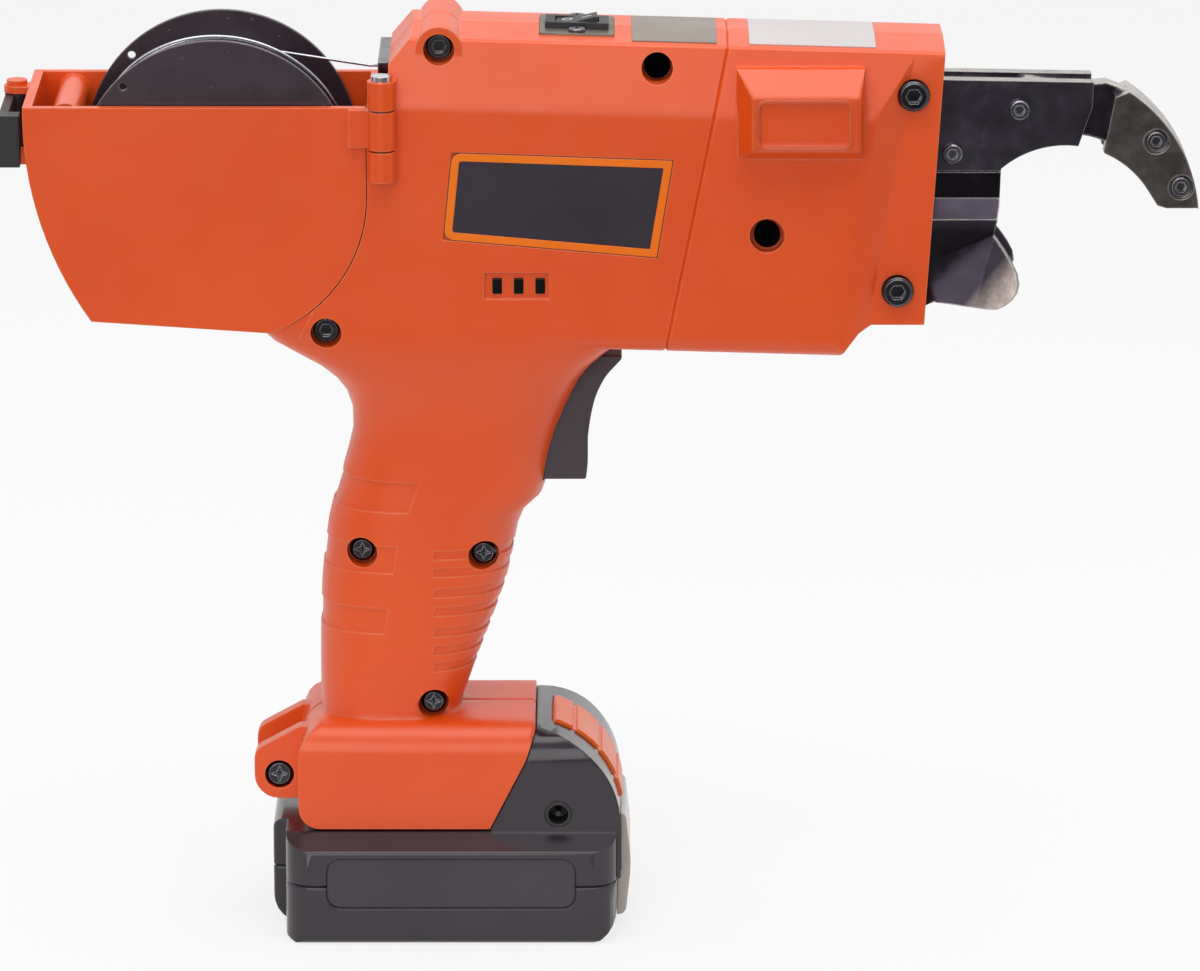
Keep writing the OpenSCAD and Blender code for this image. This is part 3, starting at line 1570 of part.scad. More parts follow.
module lanyard_screw() {
  color("silver")
    difference() {
      union() {
        rod_y(ear_x, ear_z, lanyard_r, -ear_gap / 2 - ear_t + lanyard_recess, ear_gap / 2 + ear_t);
        rod_y(ear_x, ear_z, lanyard_head_r, -ear_gap / 2 - ear_t + overrun / 2,
          -ear_gap / 2 - ear_t + lanyard_recess);
      }
      for (a = [0, 90])
        translate([ear_x, -ear_gap / 2 - ear_t, ear_z])
          rotate([0, a, 0])
            block([-lanyard_head_r * 0.6, -overrun, -lanyard_head_r * 0.13],
              [lanyard_head_r * 0.6, overrun * 1.6, lanyard_head_r * 0.13]);
    }
}

// Block in the foot with the two blades that enter the pack
module terminal_block() {
  color("black")
    block([foot_x0 + wall * 2 + seat_gap, -rail_half + seat_gap, foot_z + rail_stem_h],
      [rail_x0 - overrun * 2, rail_half - seat_gap, foot_top - wall * 2]);
  color("gold")
    for (s = [-1, 1])
      block([rail_x0 - overrun * 2, s * rail_half / 2 - contact_t / 2, foot_z + rail_stem_h / 2],
        [rail_x0 + contact_len, s * rail_half / 2 + contact_t / 2, foot_z + rail_stem_h / 2 + contact_h]);
}

// Plan of the pack with its rear bulge
function pack_plan(d) = shelled([[tub_len / 2, -tub_w / 2], [tub_len / 2, tub_w / 2],
  [-tub_len / 2, tub_w / 2], [-tub_len / 2, tail_half], [-tub_len / 2 - tail_proud, tail_half],
  [-tub_len / 2 - tail_proud, -tail_half], [-tub_len / 2, -tail_half], [-tub_len / 2, -tub_w / 2]],
  [pack_corner_r, pack_corner_r, pack_corner_r, 0, edge_r, edge_r, 0, pack_corner_r], d);

function pack_side(d) = shelled([[-tub_len / 2 - tail_proud, 0], [tub_len / 2, 0], [tub_len / 2, deck_z],
  [-tub_len / 2 - tail_proud, deck_z]], [pack_end_r, pack_end_r, 0, edge_r * 2], d);

function pack_section(d) = shelled([[-tub_w / 2, 0], [tub_w / 2, 0], [tub_w / 2, pack_side_h],
  [foot_w / 2, deck_z], [-foot_w / 2, deck_z], [-tub_w / 2, pack_side_h]],
  [pack_edge_r, pack_edge_r, edge_r, edge_r, edge_r, edge_r], d);

module pack_solid(d) {
  intersection() {
    linear_extrude(reach)
      polygon(pack_plan(d));
    xz(pack_side(d), -reach, reach);
    yz(pack_section(d), -reach, reach);
  }
}

// Raised panel frame sunk into both long sides
module side_panels() {
  for (s = [-1, 1])
    xz(rounded([[-panel_len / 2, panel_z - panel_h / 2], [panel_len / 2, panel_z - panel_h / 2],
      [panel_len / 2, panel_z + panel_h / 2], [-panel_len / 2, panel_z + panel_h / 2]],
      [panel_r, panel_r, panel_r, panel_r]),
      s < 0 ? -tub_w : tub_w / 2 - panel_deep, s < 0 ? -tub_w / 2 + panel_deep : tub_w);
}

module pack_screw_holes(r, z0, z1) {
  for (sx = [-1, 1], sy = [-1, 1])
    rod_z(sx * (tub_len / 2 - pack_screw_inset), sy * (tub_w / 2 - pack_screw_inset), r, z0, z1);
}

// Ribs from the upper posts to the side walls
module post_ribs() {
  for (s = [-1, 1], y = [-tub_w / 2, tub_w / 2 - pack_screw_inset])
    block([s * (tub_len / 2 - pack_screw_inset) - pack_wall / 2, y, tub_h],
      [s * (tub_len / 2 - pack_screw_inset) + pack_wall / 2, y + pack_screw_inset, deck_z]);
}

module battery_tub() {
  color("dimgray")
    difference() {
      intersection() {
        pack_solid(0);
        block([-reach, -reach, 0], [reach, reach, tub_h]);
      }
      difference() {
        pack_solid(pack_wall);
        pack_screw_holes(pack_post_r, -overrun, tub_h);
      }
      side_panels();
      pack_screw_holes(pack_screw_r + seat_gap, -overrun, reach);
      pack_screw_holes(pack_sink_r, -overrun, pack_sink);
    }
}

// Outline of the shoulder that rises in front of the foot
function shoulder_outline(d) =
  let (foot_front = placed([foot_outline_shares[1], foot_outline_shares[2], foot_outline_shares[3]],
    [foot_x0 + fit_gap, foot_z], [foot_len, foot_h]))
  inset(concat([[foot_front[0].x, tub_h], [shoulder_x + shoulder_r, tub_h]],
    arc([shoulder_x, shoulder_z], shoulder_r, [0, 80]),
    [[foot_front[2].x, foot_front[2].y], foot_front[1], foot_front[0]]), d);

module shoulder(d) {
  section = shelled([[-shoulder_half, 0], [shoulder_half, 0], [shoulder_half, shoulder_z + shoulder_r],
    [-shoulder_half, shoulder_z + shoulder_r]], [0, 0, foot_side_r, foot_side_r], d);
  intersection() {
    xz(shoulder_outline(d), -reach, reach);
    yz(section, -reach, reach);
  }
}

// Rails that run in the foot's grooves
module pack_rails() {
  block([rail_x0, -rail_half, deck_z - pack_wall], [rail_x1, rail_half, foot_z + rail_h]);
  block([rail_x0, -rail_half - rail_lip, foot_z + rail_stem_h],
    [rail_x1, rail_half + rail_lip, foot_z + rail_h]);
}

// Bent band of the button, its ends along the way it is pressed
module button(d, deep) {
  r = shoulder_r + button_proud;
  intersection() {
    xz(concat(arc([shoulder_x, shoulder_z], r, button_angles),
      arc([shoulder_x, shoulder_z], r - button_t - deep, [button_angles[1], button_angles[0]])), -reach, reach);
    translate([shoulder_x, 0, shoulder_z])
      rotate([0, -button_dir, 0])
        block([0, -button_w / 2 - d, -button_len / 2 - d], [reach, button_w / 2 + d, button_len / 2 + d]);
  }
}

// Well behind the button for its spring
module spring_cup(d) {
  r = shoulder_r + button_proud - button_t;
  translate([shoulder_x, 0, shoulder_z])
    rotate([0, 90 - button_dir, 0])
      translate([0, 0, r - spring_h - d])
        cylinder(h = spring_h + d - button_travel * (d > 0 ? 1 : 0), r = spring_r + spring_wire + d);
}

module battery_upper_shell() {
  color("dimgray")
    difference() {
      union() {
        difference() {
          union() {
            intersection() {
              pack_solid(0);
              block([-reach, -reach, tub_h], [reach, reach, reach]);
            }
            shoulder(0);
          }
          difference() {
            union() {
              pack_solid(pack_wall);
              shoulder(pack_wall);
            }
            button(pack_wall, button_travel + fit_gap + pack_wall);
          }
        }
        intersection() {
          pack_solid(pack_wall / 2);
          union() {
            pack_screw_holes(pack_post_r, tub_h, deck_z);
            post_ribs();
          }
        }
        pack_rails();
        spring_cup(pack_wall);
      }
      side_panels();
      button(fit_gap, button_travel + fit_gap);
      spring_cup(0);
      pack_screw_holes(pack_screw_r + seat_gap, -overrun, tub_h + pack_post_r);
      rod_y(socket_x, socket_z, socket_r + seat_gap, -reach, 0);
      for (s = [-1, 1])
        block([rail_x0 - overrun, s * rail_half / 2 - contact_t, foot_z + rail_stem_h / 2 - fit_gap],
          [rail_x0 + contact_len * 1.5, s * rail_half / 2 + contact_t,
            foot_z + rail_stem_h / 2 + contact_h + fit_gap]);
    }
}

module battery_cells() {
  color("steelblue")
    for (i = [0 : cell_n - 1])
      rod_x((i - (cell_n - 1) / 2) * (cell_d + seat_gap), pack_wall + cell_d / 2 + seat_gap, cell_d / 2,
        -cell_len / 2, cell_len / 2);
}

// Clips in the rails that meet the blades
module battery_contacts() {
  color("gold")
    for (s = [-1, 1], t = [-1, 1])
      block([rail_x0 + overrun, s * rail_half / 2 + t * contact_t * 0.8 - contact_t * 0.15,
        foot_z + rail_stem_h / 2 + contact_h * 0.2],
        [rail_x0 + contact_len, s * rail_half / 2 + t * contact_t * 0.8 + contact_t * 0.15,
          foot_z + rail_stem_h / 2 + contact_h * 0.8]);
}

module charge_socket() {
  color("black")
    difference() {
      rod_y(socket_x, socket_z, socket_r, -shoulder_half, -shoulder_half + socket_len);
      rod_y(socket_x, socket_z, socket_r * 0.75, -reach, -shoulder_half + socket_len - pack_wall);
    }
  color("silver")
    rod_y(socket_x, socket_z, socket_pin_r, -shoulder_half + overrun, -shoulder_half + socket_len - pack_wall);
}

// Bumper plate bowed over the pack's front
module pack_front_guard() {
  outline = rounded([[tub_len / 2, guard_z0], [tub_len / 2 + guard_proud * 0.6, guard_z0],
    [tub_len / 2 + guard_proud, (guard_z0 + guard_z1) / 2], [tub_len / 2 + guard_proud * 0.6, guard_z1],
    [tub_len / 2, guard_z1]], [0, guard_t, guard_z1, guard_t, 0]);
  color("gray")
    difference() {
      xz(outline, -guard_half, guard_half);
      shoulder(-seat_gap);
      pack_solid(-seat_gap);
    }
}

module release_button() {
  color("darkorange")
    difference() {
      button(0, 0);
      for (i = [1 : button_ribs]) {
        a = button_dir + (i - (button_ribs + 1) / 2) * button_len / button_ribs * 2;
        rod_y(shoulder_x + (shoulder_r + button_proud) * cos(a),
          shoulder_z + (shoulder_r + button_proud) * sin(a), button_rib_r, -reach, reach);
      }
    }
}

// Coil behind the button, along the way it is pressed
function spring_path() = let (n = spring_turns * spring_rings, h = spring_h - 2 * spring_wire - seat_gap * 2)
  [for (i = [0 : n]) let (a = 360 * i / spring_rings)
    [spring_r * cos(a), spring_r * sin(a), spring_wire + seat_gap + h * i / n]];

module release_spring() {
  color("silver")
    translate([shoulder_x, 0, shoulder_z])
      rotate([0, 90 - button_dir, 0])
        translate([0, 0, shoulder_r + button_proud - button_t - spring_h])
          tube(spring_path(), spring_wire, tube_sides);
}

module battery_screws() {
  color("silver")
    for (sx = [-1, 1], sy = [-1, 1]) {
      rod_z(sx * (tub_len / 2 - pack_screw_inset), sy * (tub_w / 2 - pack_screw_inset), pack_screw_r,
        pack_wall * 0.6, tub_h);
    }
}

echo(winding_gap = winding_gap());
right_housing();
left_housing();
right_nose_cover();
left_nose_cover();
reel_door();
door_hinge_pin();
door_latch();
latch_pin();
wire_inlet_guide();
wire_reel();
wire_core();
wire_winding();
wire_lead();
jaw_right_plate();
jaw_left_plate();
jaw_core();
tip_right_plate();
tip_left_plate();
jaw_screws();
guide_right_cheek();
guide_left_cheek();
guide_screws();
head_frame();
twist_bush();
twist_motor();
gearbox();
thrust_sleeve();
twist_shaft();
twist_hooks();
feed_motor();
feed_gearbox();
feed_drive_gear();
feed_idler_gear();
idler_bracket();
wire_tube();
cutter_blade();
trigger();
trigger_switch();
switch_body();
rocker();
switch_plate();
plate_screws();
control_board();
indicator_lights();
spec_plate();
top_labels();
housing_screws();
nose_screws();
lanyard_screw();
terminal_block();
battery_tub();
battery_upper_shell();
battery_cells();
battery_contacts();
charge_socket();
pack_front_guard();
release_button();
release_spring();
battery_screws();
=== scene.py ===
"""Looks of a battery rebar tying tool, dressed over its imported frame. Metres, +X forward, +Z up."""

import json
import math

import bmesh
import bpy
from mathutils import Matrix, Vector
from mathutils.bvhtree import BVHTree

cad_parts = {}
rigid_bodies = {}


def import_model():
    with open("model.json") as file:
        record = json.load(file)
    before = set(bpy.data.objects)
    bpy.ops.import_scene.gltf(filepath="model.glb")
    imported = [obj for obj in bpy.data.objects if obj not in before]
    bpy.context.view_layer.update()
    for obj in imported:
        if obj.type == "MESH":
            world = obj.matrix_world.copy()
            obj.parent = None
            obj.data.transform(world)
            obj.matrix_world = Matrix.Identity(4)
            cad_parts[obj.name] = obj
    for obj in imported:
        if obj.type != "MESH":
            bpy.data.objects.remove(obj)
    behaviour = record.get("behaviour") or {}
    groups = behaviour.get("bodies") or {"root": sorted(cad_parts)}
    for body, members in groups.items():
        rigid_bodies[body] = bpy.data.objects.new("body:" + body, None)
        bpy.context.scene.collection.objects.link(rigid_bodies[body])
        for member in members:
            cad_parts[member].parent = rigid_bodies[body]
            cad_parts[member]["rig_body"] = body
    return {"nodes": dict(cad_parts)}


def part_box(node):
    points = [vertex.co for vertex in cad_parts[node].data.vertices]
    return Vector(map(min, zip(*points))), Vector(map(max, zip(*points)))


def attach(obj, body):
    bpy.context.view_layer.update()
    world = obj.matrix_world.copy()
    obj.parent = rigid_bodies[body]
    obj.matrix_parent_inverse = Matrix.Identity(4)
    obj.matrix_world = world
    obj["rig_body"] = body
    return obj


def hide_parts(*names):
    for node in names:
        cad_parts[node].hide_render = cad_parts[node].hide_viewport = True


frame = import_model()
NODES = frame["nodes"]
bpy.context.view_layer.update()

MM = 0.001
# Points nearer than MERGE are one, faces that turn less than FLAT_ANGLE are joined, and turns of more than
# CREASE_ANGLE are edges
MERGE = 0.001 * MM
FLAT_ANGLE = math.radians(0.6)
CREASE_ANGLE = math.radians(32)
# Steps of an edge that is rounded in the mesh
EDGE_STEPS = 3

# Photograph: its width in pixels, its scale at the tool's near side and the point in its middle
PHOTO_W = 1200
PX_PER_MM = 3.6
VIEW_MIDDLE = Vector((41.7, 0, 124.2)) * MM
# Camera: rise, distance from that point, distance at which that scale holds, sensor's width in millimetres
VIEW_RISE = math.radians(15)
VIEW_DISTANCE = 2224 * MM
NEAR_DISTANCE = 2200 * MM
SENSOR = 36


# Small tools

def linear(code):
    """Linear RGBA of an sRGB hex colour."""
    shares = [int(code[i:i + 2], 16) / 255 for i in (0, 2, 4)]
    return [s / 12.92 if s <= 0.04045 else ((s + 0.055) / 1.055) ** 2.4 for s in shares] + [1.0]


def add(tree, kind, inputs=None, **settings):
    """A node with its settings; an input takes a value or another node's output."""
    node = tree.nodes.new(kind)
    for name, value in settings.items():
        setattr(node, name, value)
    for socket, value in (inputs or {}).items():
        if isinstance(value, bpy.types.NodeSocket):
            tree.links.new(value, node.inputs[socket])
        else:
            node.inputs[socket].default_value = value
    return node


def combine(tree, kind, a, b, **settings):
    """Output of a math node on two values."""
    return add(tree, "ShaderNodeMath", {0: a, 1: b}, operation=kind, **settings).outputs[0]


def fade(tree, value, span, low=0.0, high=1.0):
    """Output that goes from low to high as a value goes along a span."""
    return add(tree, "ShaderNodeMapRange", {
        "Value": value, "From Min": span[0], "From Max": span[1],
        "To Min": low, "To Max": high}).outputs["Result"]


def per_mm(size):
    """Pattern scale, per metre, of a feature of that size in millimetres."""
    return 1 / (size * MM)


def in_scene(name, data):
    """A new object in the scene."""
    item = bpy.data.objects.new(name, data)
    bpy.context.scene.collection.objects.link(item)
    return item


def new_piece(name, mesh, material, body, stands_for=()):
    """A finished mesh as a piece of the tool, riding on a body."""
    mesh.materials.clear()
    mesh.materials.append(material)
    piece = in_scene(name, mesh)
    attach(piece, body)
    if stands_for:
        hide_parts(*stands_for)
    return piece


def shape_of(*meshes):
    """The shape of one or more meshes together, to be edited."""
    shape = bmesh.new()
    for mesh in meshes:
        shape.from_mesh(mesh)
    return shape


def put(shape, mesh):
    """A mesh that takes over an edited shape."""
    shape.to_mesh(mesh)
    shape.free()
    return mesh


def soften(piece, width=0.0):
    """Smooth shading with flat flats; creases rounded to a width in millimetres, or else left sharp."""
    shape = shape_of(piece.data)
    for face in shape.faces:
        face.smooth = True
    for edge in shape.edges:
        creased = len(edge.link_faces) == 2 and edge.calc_face_angle() > CREASE_ANGLE
        edge.smooth = not creased or width > 0
    put(shape, piece.data)
    if width:
        bevel = piece.modifiers.new("edge_round", "BEVEL")
        bevel.width = width * MM
        bevel.segments = EDGE_STEPS
        bevel.limit_method = "ANGLE"
        bevel.angle_limit = CREASE_ANGLE
    flats = piece.modifiers.new("flat_faces", "WEIGHTED_NORMAL")
    flats.keep_sharp = True


def cad_mesh(node):
    """A merged copy of a CAD node's mesh, its flat triangles joined into convex faces."""
    shape = shape_of(NODES[node].data)
    bmesh.ops.remove_doubles(shape, verts=shape.verts, dist=MERGE)
    bmesh.ops.dissolve_limit(shape, angle_limit=FLAT_ANGLE, verts=shape.verts, edges=shape.edges)
    bmesh.ops.connect_verts_concave(shape, faces=shape.faces)
    return put(shape, bpy.data.meshes.new(node + "_copy"))


def surface_tree(nodes):
    """Search tree over the faces of CAD nodes."""
    points, faces = [], []
    for node in nodes:
        start = len(points)
        faces += [[start + i for i in f.vertices] for f in NODES[node].data.polygons]
        points += [v.co for v in NODES[node].data.vertices]
    return BVHTree.FromPolygons(points, faces)


# Groove of a seam: width of each side's chamfer; step off the skin, turns of the look out and its clear reach
GROOVE = 0.55 * MM
SKIN_STEP = 0.3 * MM
LOOK_TURNS = [math.radians(a) for a in (0, 50, -50)]
OUTSIDE = 100 * MM


def groove(mesh, meets, shells):
    """Chamfers the outer edges of the faces by which a moulding meets the next, so that the seam shows."""
    shape = shape_of(mesh)
    shape.normal_update()

    def looks_out(edge, skin):
        start = (edge.verts[0].co + edge.verts[1].co) / 2 + skin.normal * SKIN_STEP
        ways = [Matrix.Rotation(turn, 3, "Y") @ skin.normal for turn in LOOK_TURNS]
        return any(shells.ray_cast(start, way, OUTSIDE)[0] is None for way in ways)

    def on_seam(edge):
        pairs = zip(edge.link_faces, reversed(edge.link_faces))
        return any(meets(face) and not meets(skin) and looks_out(edge, skin) for face, skin in pairs)

    seam = [edge for edge in shape.edges if on_seam(edge)]
    bmesh.ops.bevel(shape, geom=seam, offset=GROOVE, offset_type="OFFSET", segments=1, profile=0.5,
                    affect="EDGES", clamp_overlap=False)
    put(shape, mesh)


def body_of(node):
    """Name of the body that a CAD node rides on."""
    return NODES[node]["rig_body"]


def dress(node, material, meets=None, shells=None):
    """A CAD node's shape, smoothly shaded and with a finish, in the node's place."""
    mesh = cad_mesh(node)
    if meets:
        groove(mesh, meets, shells)
    soften(new_piece(node + "_piece", mesh, material, body_of(node), [node]))


def paint(node, material):
    """A finish on a CAD node that stays as it is."""
    NODES[node].data.materials.clear()
    NODES[node].data.materials.append(material)


def solids_of(node):
    """Lowest and highest corner of each separate solid of a CAD node."""
    shape = shape_of(NODES[node].data)
    bmesh.ops.remove_doubles(shape, verts=shape.verts, dist=MERGE)
    left = set(shape.verts)
    boxes = []
    while left:
        todo = [left.pop()]
        corners = []
        while todo:
            vert = todo.pop()
            corners.append(vert.co.copy())
            near = [e.other_vert(vert) for e in vert.link_edges]
            todo += [v for v in near if v in left]
            left -= set(near)
        boxes.append((Vector(map(min, zip(*corners))), Vector(map(max, zip(*corners)))))
    shape.free()
    return sorted(boxes, key=lambda b: tuple(b[0]))


# Camera

def make_camera():
    """Camera at the photograph's angle, with the photograph's frame."""
    camera = in_scene("camera", bpy.data.cameras.new("camera"))
    back = Vector((0, -math.cos(VIEW_RISE), math.sin(VIEW_RISE)))
    camera.location = VIEW_MIDDLE + back * VIEW_DISTANCE
    camera.rotation_euler = (-back).to_track_quat("-Z", "Y").to_euler()
    camera.data.sensor_fit = "HORIZONTAL"
    camera.data.sensor_width = SENSOR
    camera.data.lens = SENSOR * NEAR_DISTANCE / (PHOTO_W / PX_PER_MM * MM)
    bpy.context.scene.camera = camera


make_camera()


# Materials

# Noise values between which a colour or a gloss drifts
DRIFT = (0.3, 0.7)
# Shares of a soft zone's reach where its extra rounding starts and where it is whole
ZONE_FADE = (1.0, 0.8)
# Patches that break up a rubbed finish or a painted highlight: size in millimetres, noise values where they
# fade, least share left
WEAR_SHEEN_PATCH = 3
WEAR_SHEEN_DRIFT = (0.35, 0.6)
WEAR_SHEEN_LEAST = 0.65
# Cosine of the turn at an edge where its rubbing or painted highlight starts and where it is whole
EDGE_TURN = (0.97, 0.82)
# Upward share of a face's normal where a top's paler colour starts and where it is whole
TOP_FACING = (0.45, 0.85)
# Distance from the middle plane over which a painted highlight makes the guide's bent-out lips bright
LIP_HIGHLIGHT_FROM = (14.5 * MM, 19 * MM)
# Moulded plastic: patches of colour and gloss in millimetres, index of refraction, roughness of its coat
PLASTIC_PATCHES = (45, 12)
PLASTIC_IOR = 1.53
COAT_ROUGHNESS = 0.08
# Metal: patches of colour and gloss, and its edges' radius, in millimetres
METAL_PATCHES = (14, 5)
METAL_EDGE_R = 0.25


def surface(name):
    """A new material, its shader and its Object coordinates."""
    material = bpy.data.materials.new(name)
    material.use_nodes = True
    tree = material.node_tree
    tree.nodes.clear()
    shader = add(tree, "ShaderNodeBsdfPrincipled")
    add(tree, "ShaderNodeOutputMaterial", {"Surface": shader.outputs["BSDF"]})
    place = add(tree, "ShaderNodeTexCoord").outputs["Object"]
    return material, tree, shader, place


def mottle(tree, shader, place, codes, size):
    """Base colour that drifts between two hex colours over patches of a size in millimetres."""
    noise = add(tree, "ShaderNodeTexNoise", {"Vector": place, "Scale": per_mm(size), "Detail": 3.0})
    ramp = add(tree, "ShaderNodeValToRGB", {"Fac": noise.outputs["Fac"]})
    for stop, at, code in zip(ramp.color_ramp.elements, DRIFT, codes):
        stop.position = at
        stop.color = linear(code)
    tree.links.new(ramp.outputs["Color"], shader.inputs["Base Color"])
    return ramp.outputs["Color"]


def patchy_gloss(tree, shader, place, gloss, size):
    """Roughness that drifts between two values over patches of a size in millimetres."""
    noise = add(tree, "ShaderNodeTexNoise", {"Vector": place, "Scale": per_mm(size), "Detail": 4.0})
    rough = fade(tree, noise.outputs["Fac"], DRIFT, *gloss)
    tree.links.new(rough, shader.inputs["Roughness"])


def grain(tree, shader, place, size, relief, edge_r, stretch=(1, 1, 1), zones=()):
    """Raised grain and round edges, in millimetres; edges are rounder in zones of (centre, reach, radius)."""
    turned = add(tree, "ShaderNodeMapping", {"Vector": place, "Scale": stretch})
    noise = add(tree, "ShaderNodeTexNoise", {
        "Vector": turned.outputs["Vector"], "Scale": per_mm(size), "Detail": 2.0})
    radius = edge_r * MM
    for centre, reach, more in zones:
        near = add(tree, "ShaderNodeMapping", {
            "Vector": place, "Scale": [per_mm(r) for r in reach],
            "Location": [-c / r for c, r in zip(centre, reach)]})
        far = add(tree, "ShaderNodeVectorMath", {0: near.outputs["Vector"]}, operation="LENGTH")
        extra = fade(tree, far.outputs["Value"], ZONE_FADE, 0.0, more * MM)
        radius = combine(tree, "ADD", radius, extra)
    rounding = add(tree, "ShaderNodeBevel", {"Radius": radius}, samples=6)
    bump = add(tree, "ShaderNodeBump", {
        "Height": noise.outputs["Fac"], "Distance": relief * MM, "Normal": rounding.outputs["Normal"]})
    tree.links.new(bump.outputs["Normal"], shader.inputs["Normal"])


def rubbed_or_highlit(tree, place, colour, code, value, span):
    """Colour moved to a hex one, as rubbing or as a painted highlight, as a value goes along a span, broken
    up by noise.
    """
    share = fade(tree, value, span)
    noise = add(tree, "ShaderNodeTexNoise", {"Vector": place, "Scale": per_mm(WEAR_SHEEN_PATCH), "Detail": 4.0})
    breaks = fade(tree, noise.outputs["Fac"], WEAR_SHEEN_DRIFT, WEAR_SHEEN_LEAST)
    both = combine(tree, "MULTIPLY", share, breaks)
    return add(tree, "ShaderNodeMix", {"Factor": both, "A": colour, "B": linear(code)},
               data_type="RGBA").outputs["Result"]


def worn_or_highlit_edges(tree, place, colour, code, width):
    """Colour moved to a hex one at edges, as rubbing or as a painted highlight, over a width in millimetres.
    """
    sharp = add(tree, "ShaderNodeNewGeometry").outputs["Normal"]
    round_off = add(tree, "ShaderNodeBevel", {"Radius": width * MM}, samples=4)
    turn = add(tree, "ShaderNodeVectorMath", {0: sharp, 1: round_off.outputs["Normal"]},
               operation="DOT_PRODUCT")
    return rubbed_or_highlit(tree, place, colour, code, turn.outputs["Value"], EDGE_TURN)


def moulded(name, codes, gloss, grain_mm, relief, coat=0.0, edge_r=0.35, specular=0.5, zones=()):
    """Injection-moulded plastic: even colour, soft sheen, the mould's etched grain."""
    material, tree, shader, place = surface(name)
    colour = mottle(tree, shader, place, codes, PLASTIC_PATCHES[0])
    patchy_gloss(tree, shader, place, gloss, PLASTIC_PATCHES[1])
    grain(tree, shader, place, grain_mm, relief, edge_r, zones=zones)
    shader.inputs["IOR"].default_value = PLASTIC_IOR
    shader.inputs["Specular IOR Level"].default_value = specular
    shader.inputs["Coat Weight"].default_value = coat
    shader.inputs["Coat Roughness"].default_value = COAT_ROUGHNESS
    return material, tree, shader, place, colour


def metal(name, codes, gloss, grain_mm, relief, stretch=(1, 1, 1), edge=None, rub=0.5, top=None, lip_highlight=None):
    """Bare or treated metal: drift of shade, streaks of its working; edges rubbed bright, paler tops, painted
    lip highlight.
    """
    material, tree, shader, place = surface(name)
    colour = mottle(tree, shader, place, codes, METAL_PATCHES[0])
    patchy_gloss(tree, shader, place, gloss, METAL_PATCHES[1])
    grain(tree, shader, place, grain_mm, relief, METAL_EDGE_R, stretch)
    shader.inputs["Metallic"].default_value = 1.0
    if top:
        way = add(tree, "ShaderNodeSeparateXYZ", {0: add(tree, "ShaderNodeNewGeometry").outputs["Normal"]})
        colour = rubbed_or_highlit(tree, place, colour, top, way.outputs["Z"], TOP_FACING)
    # Painted highlight: the lips grow bright the farther they stand out from the middle plane
    if lip_highlight:
        across = add(tree, "ShaderNodeSeparateXYZ", {0: place})
        out = add(tree, "ShaderNodeMath", {0: across.outputs["Y"]}, operation="ABSOLUTE")
        colour = rubbed_or_highlit(tree, place, colour, lip_highlight, out.outputs["Value"], LIP_HIGHLIGHT_FROM)
    if edge:
        colour = worn_or_highlit_edges(tree, place, colour, edge, rub)
    tree.links.new(colour, shader.inputs["Base Color"])
    return material


# Softer moulded edges, (centre, reach, added radius) in millimetres: the nose's pad, the grip's foot
PAD_ZONE = ((97.5, -28, 233.5), (26, 14, 19), 1.6)
FOOT_ZONE = ((5, 0, 61.6), (70, 60, 6), 2.4)


def orange_abs():
    """ABS from an etched mould: warm orange, satin, its edges a little paler with a painted highlight."""
    material, tree, shader, place, colour = moulded(
        "orange_abs", ("E04C08", "E5520C"), gloss=(0.3, 0.38), grain_mm=0.7, relief=0.02, edge_r=0.4,
        zones=(PAD_ZONE, FOOT_ZONE))
    # Painted highlight: the edges turn a paler orange
    edge_highlight = worn_or_highlit_edges(tree, place, colour, "F08A58", 0.6)
    tree.links.new(edge_highlight, shader.inputs["Base Color"])
    return material


def button_abs():
    """The same ABS in a brighter orange, painted lighter for the light on its up-facing slope."""
    return moulded("button_orange_abs", ("F0600A", "F46A14"), gloss=(0.26, 0.34), grain_mm=0.7,
                   relief=0.015)[0]


def graphite_abs():
    """ABS from a polished mould: warm dark grey, glossy, with faint handling haze."""
    return moulded("graphite_abs", ("2A232B", "332B33"), gloss=(0.14, 0.24), grain_mm=1.6, relief=0.006,
                   coat=0.3, edge_r=1.0, specular=0.3)[0]


def charcoal_nylon():
    """Glass-filled nylon: dark grey, dull, with a fine dry grain."""
    return moulded("charcoal_nylon", ("362C33", "3E343B"), gloss=(0.45, 0.55), grain_mm=0.6, relief=0.03)[0]


# Dust on the reel: size of its specks in millimetres, noise values between which they show, and their most
DUST_SIZE = 1.6
DUST_FROM = (0.74, 0.8)
DUST_MOST = 0.5


def reel_styrene():
    """High-impact polystyrene: black, half dull, dusted, its rims and edges paler with a painted highlight.
    """
    material, tree, shader, place, colour = moulded(
        "reel_styrene", ("281A24", "34252F"), gloss=(0.26, 0.4), grain_mm=0.9, relief=0.015)
    specks = add(tree, "ShaderNodeTexNoise", {"Vector": place, "Scale": per_mm(DUST_SIZE), "Detail": 1.0})
    dust = fade(tree, specks.outputs["Fac"], DUST_FROM, 0.0, DUST_MOST)
    mix = add(tree, "ShaderNodeMix", {"Factor": dust, "A": colour, "B": linear("77727A")}, data_type="RGBA")
    # Painted highlight: the rims and edges turn a paler grey
    edge_highlight = worn_or_highlit_edges(tree, place, mix.outputs["Result"], "7C727A", 0.6)
    tree.links.new(edge_highlight, shader.inputs["Base Color"])
    return material


def black_nylon():
    """Nylon: black, dull moulded pieces."""
    return moulded("black_nylon", ("1B191C", "242126"), gloss=(0.4, 0.55), grain_mm=0.6, relief=0.02)[0]


def pale_guard():
    """ABS from a polished mould: warm mid grey, paler than the pack behind it."""
    return moulded("pale_grey_abs", ("AEA49E", "B8AEA7"), gloss=(0.22, 0.34), grain_mm=1.6, relief=0.006,
                   coat=0.3, edge_r=0.6)[0]


